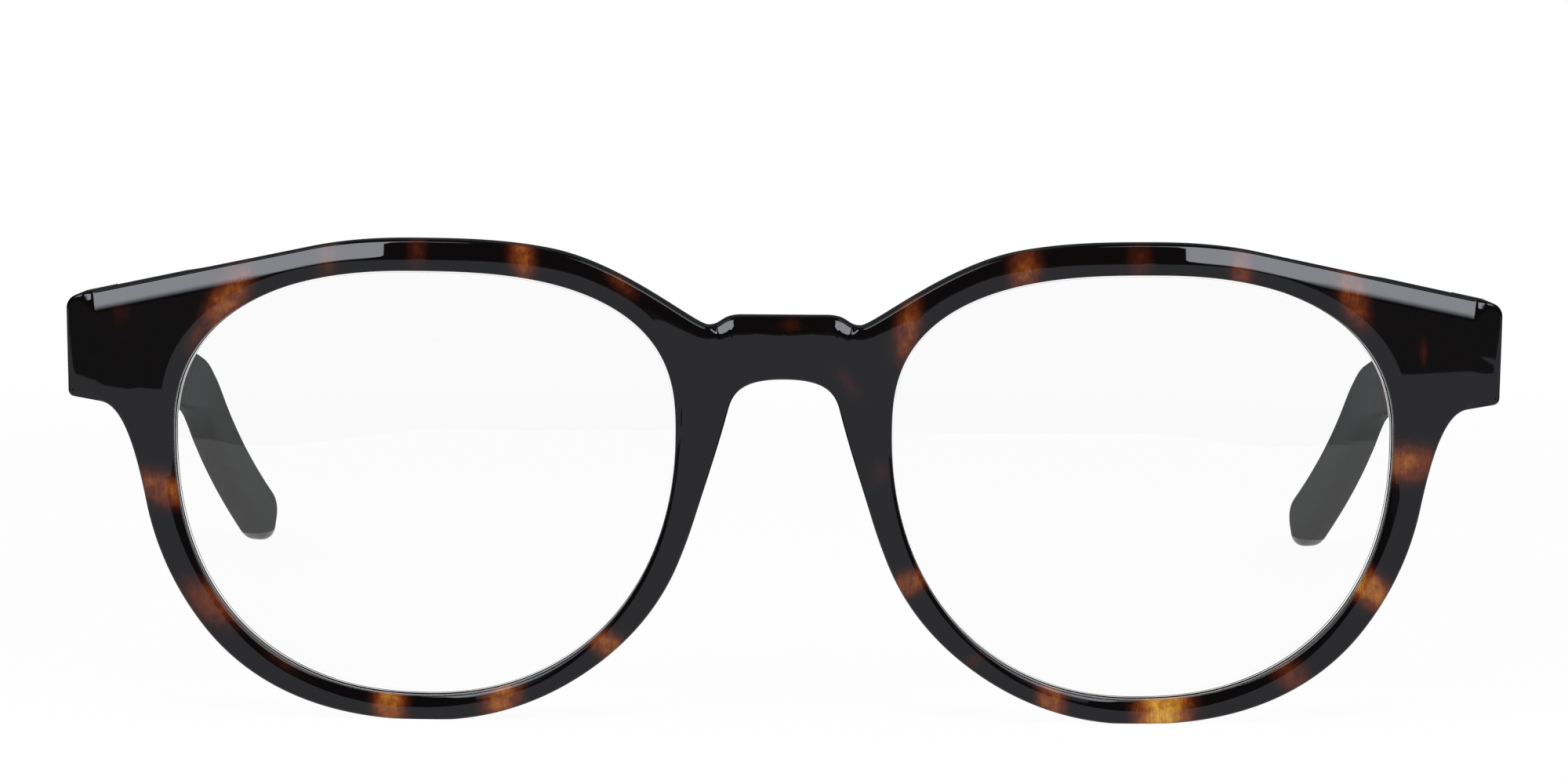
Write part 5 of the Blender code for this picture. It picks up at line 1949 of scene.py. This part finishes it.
    def for_gloss_alone(self, card: bpy.types.Object) -> None:
        """Hide a card from all but glossy rays."""
        card.visible_camera = False
        card.visible_diffuse = False
        card.visible_transmission = False
        card.visible_shadow = False

    def paper(self, front_y: float) -> bpy.types.Material:
        """White paper: lit by the lamps near the object, and an even white further out."""
        made, tree = new_material("white_floor_paper")
        around = add_node(
            tree,
            "Mapping",
            {
                "Vector": add_node(tree, "TexCoord").outputs["Object"],
                "Location": (0.0, front_y / self.floor_shade_reach, 0.0),
                "Scale": (1.0 / self.floor_shade_reach,) * 3,
            },
        )
        near = add_node(tree, "TexGradient", {"Vector": around}, gradient_type="SPHERICAL")
        glow = add_node(
            tree,
            "MapRange",
            {
                "Value": near.outputs["Fac"],
                "From Max": self.floor_shade_share,
                "To Min": 1.0,
                "To Max": self.floor_glow,
            },
            interpolation_type="SMOOTHSTEP",
        )
        seen = self.ray_share(tree, "Is Camera Ray", "Is Glossy Ray", "Is Transmission Ray")
        share = add_node(tree, "Math", {0: seen, 1: glow}, operation="MULTIPLY")
        ray = add_node(tree, "LightPath").outputs
        mirrored = add_node(
            tree,
            "Math",
            {0: ray["Is Glossy Ray"], 1: ray["Is Transmission Ray"]},
            operation="SUBTRACT",
            use_clamp=True,
        )
        level = add_node(
            tree, "MapRange", {"Value": mirrored, "To Min": 1.0, "To Max": self.floor_gloss}
        )
        light = add_node(tree, "Emission", {"Color": linear(WHITE), "Strength": level})
        paper = add_node(tree, "BsdfDiffuse", {"Color": linear(self.floor_paper)})
        mixed = add_node(tree, "MixShader", {"Fac": share, 1: paper, 2: light})
        add_node(tree, "OutputMaterial", {"Surface": mixed})
        return made

    def lay_floor(self, front_y: float) -> None:
        """The pale floor, which keeps the object's soft shadow."""
        half = self.floor_size / 2.0
        z = -self.floor_drop
        corners = ((-half, -half, z), (half, -half, z), (half, half, z), (-half, half, z))
        self.sheet("floor", corners, self.paper(front_y))

    def lay_cloth(self, front_y: float) -> None:
        """Black cloth on the floor in front, up to which the flat faces mirror white paper."""
        made, tree = new_material("black_cloth")
        cloth = add_node(tree, "Emission", {"Strength": self.cloth_gloss})
        add_node(tree, "OutputMaterial", {"Surface": cloth})
        half = self.floor_size / 2.0
        lift = self.floor_drop
        corners = [(-half, -half, lift), (half, -half, lift)]
        corners += [(x, front_y - distance, lift) for x, distance in self.cloth_edge]
        self.for_gloss_alone(self.sheet("black_cloth", tuple(corners), made))

    def hang_card(self, card: Card, front_y: float) -> None:
        """Hang one card, at its place in front of, behind or above the front."""
        (x0, v0), (x1, v1) = card.low, card.high
        if card.hang is Hang.LEVEL:
            low, high, place = v0 + front_y, v1 + front_y, card.place
            corners = ((x0, low, place), (x1, low, place), (x1, high, place), (x0, high, place))
        else:
            place = front_y + card.place
            corners = ((x0, place, v0), (x1, place, v0), (x1, place, v1), (x0, place, v1))
        made, tree = new_material(card.name)
        strength: Any = card.strength
        if card.fade:
            spot = add_node(tree, "TexCoord").outputs["Object"]
            strength = add_node(
                tree,
                "MapRange",
                {
                    "Value": add_node(tree, "SeparateXYZ", {0: spot}).outputs["Z"],
                    "From Min": v0,
                    "From Max": v0 + card.fade,
                    "To Max": card.strength,
                },
                interpolation_type="SMOOTHSTEP",
            )
        light = add_node(tree, "Emission", {"Color": linear(card.colour), "Strength": strength})
        add_node(tree, "OutputMaterial", {"Surface": light})
        self.for_gloss_alone(self.sheet(card.name, corners, made))

    def hang_lamp(self, side: Side, front_y: float) -> None:
        """A wide lamp above and in front of one side, which gloss doesn't see."""
        data = bpy.data.lights.new(f"lamp_{side.suffix}", "AREA")
        data.shape = "SQUARE"
        data.size = self.lamp_size
        data.energy = self.lamp_power
        light = bpy.data.objects.new(data.name, data)
        flat = math.cos(self.lamp_elevation)
        sideways = side.value * math.sin(self.lamp_azimuth) * flat
        ahead = -math.cos(self.lamp_azimuth) * flat
        way = Vector((sideways, ahead, math.sin(self.lamp_elevation)))
        light.location = Vector((0.0, front_y, self.aim_height)) + way * self.lamp_distance
        light.rotation_euler = way.to_track_quat("Z", "Y").to_euler()
        light.visible_camera = False
        light.visible_glossy = False
        bpy.context.scene.collection.objects.link(light)

    def set_camera(self, front_y: float) -> None:
        """A long lens, straight in front and a little above."""
        data = bpy.data.cameras.new("camera")
        data.lens = self.focal_length
        data.sensor_width = self.sensor_width
        camera = bpy.data.objects.new("camera", data)
        place = Vector((0.0, front_y - self.camera_distance, self.camera_height))
        aim = Vector((0.0, front_y, self.aim_height))
        look = (aim - place).to_track_quat("-Z", "Y").to_matrix().to_4x4()
        turned = look @ Euler((0.0, 0.0, self.roll)).to_matrix().to_4x4()
        camera.matrix_world = Matrix.Translation(place) @ turned
        bpy.context.scene.collection.objects.link(camera)
        bpy.context.scene.camera = camera


def main() -> None:
    """Load the part, dress it and set up its studio."""
    logging.basicConfig(level=logging.INFO, format="%(name)s: %(message)s")
    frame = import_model()
    Spectacles().build(frame)
    front_low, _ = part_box("front")
    Studio().build(front_low.y)
    bpy.context.scene.view_settings.view_transform = "Standard"


if __name__ == "__main__":
    main()
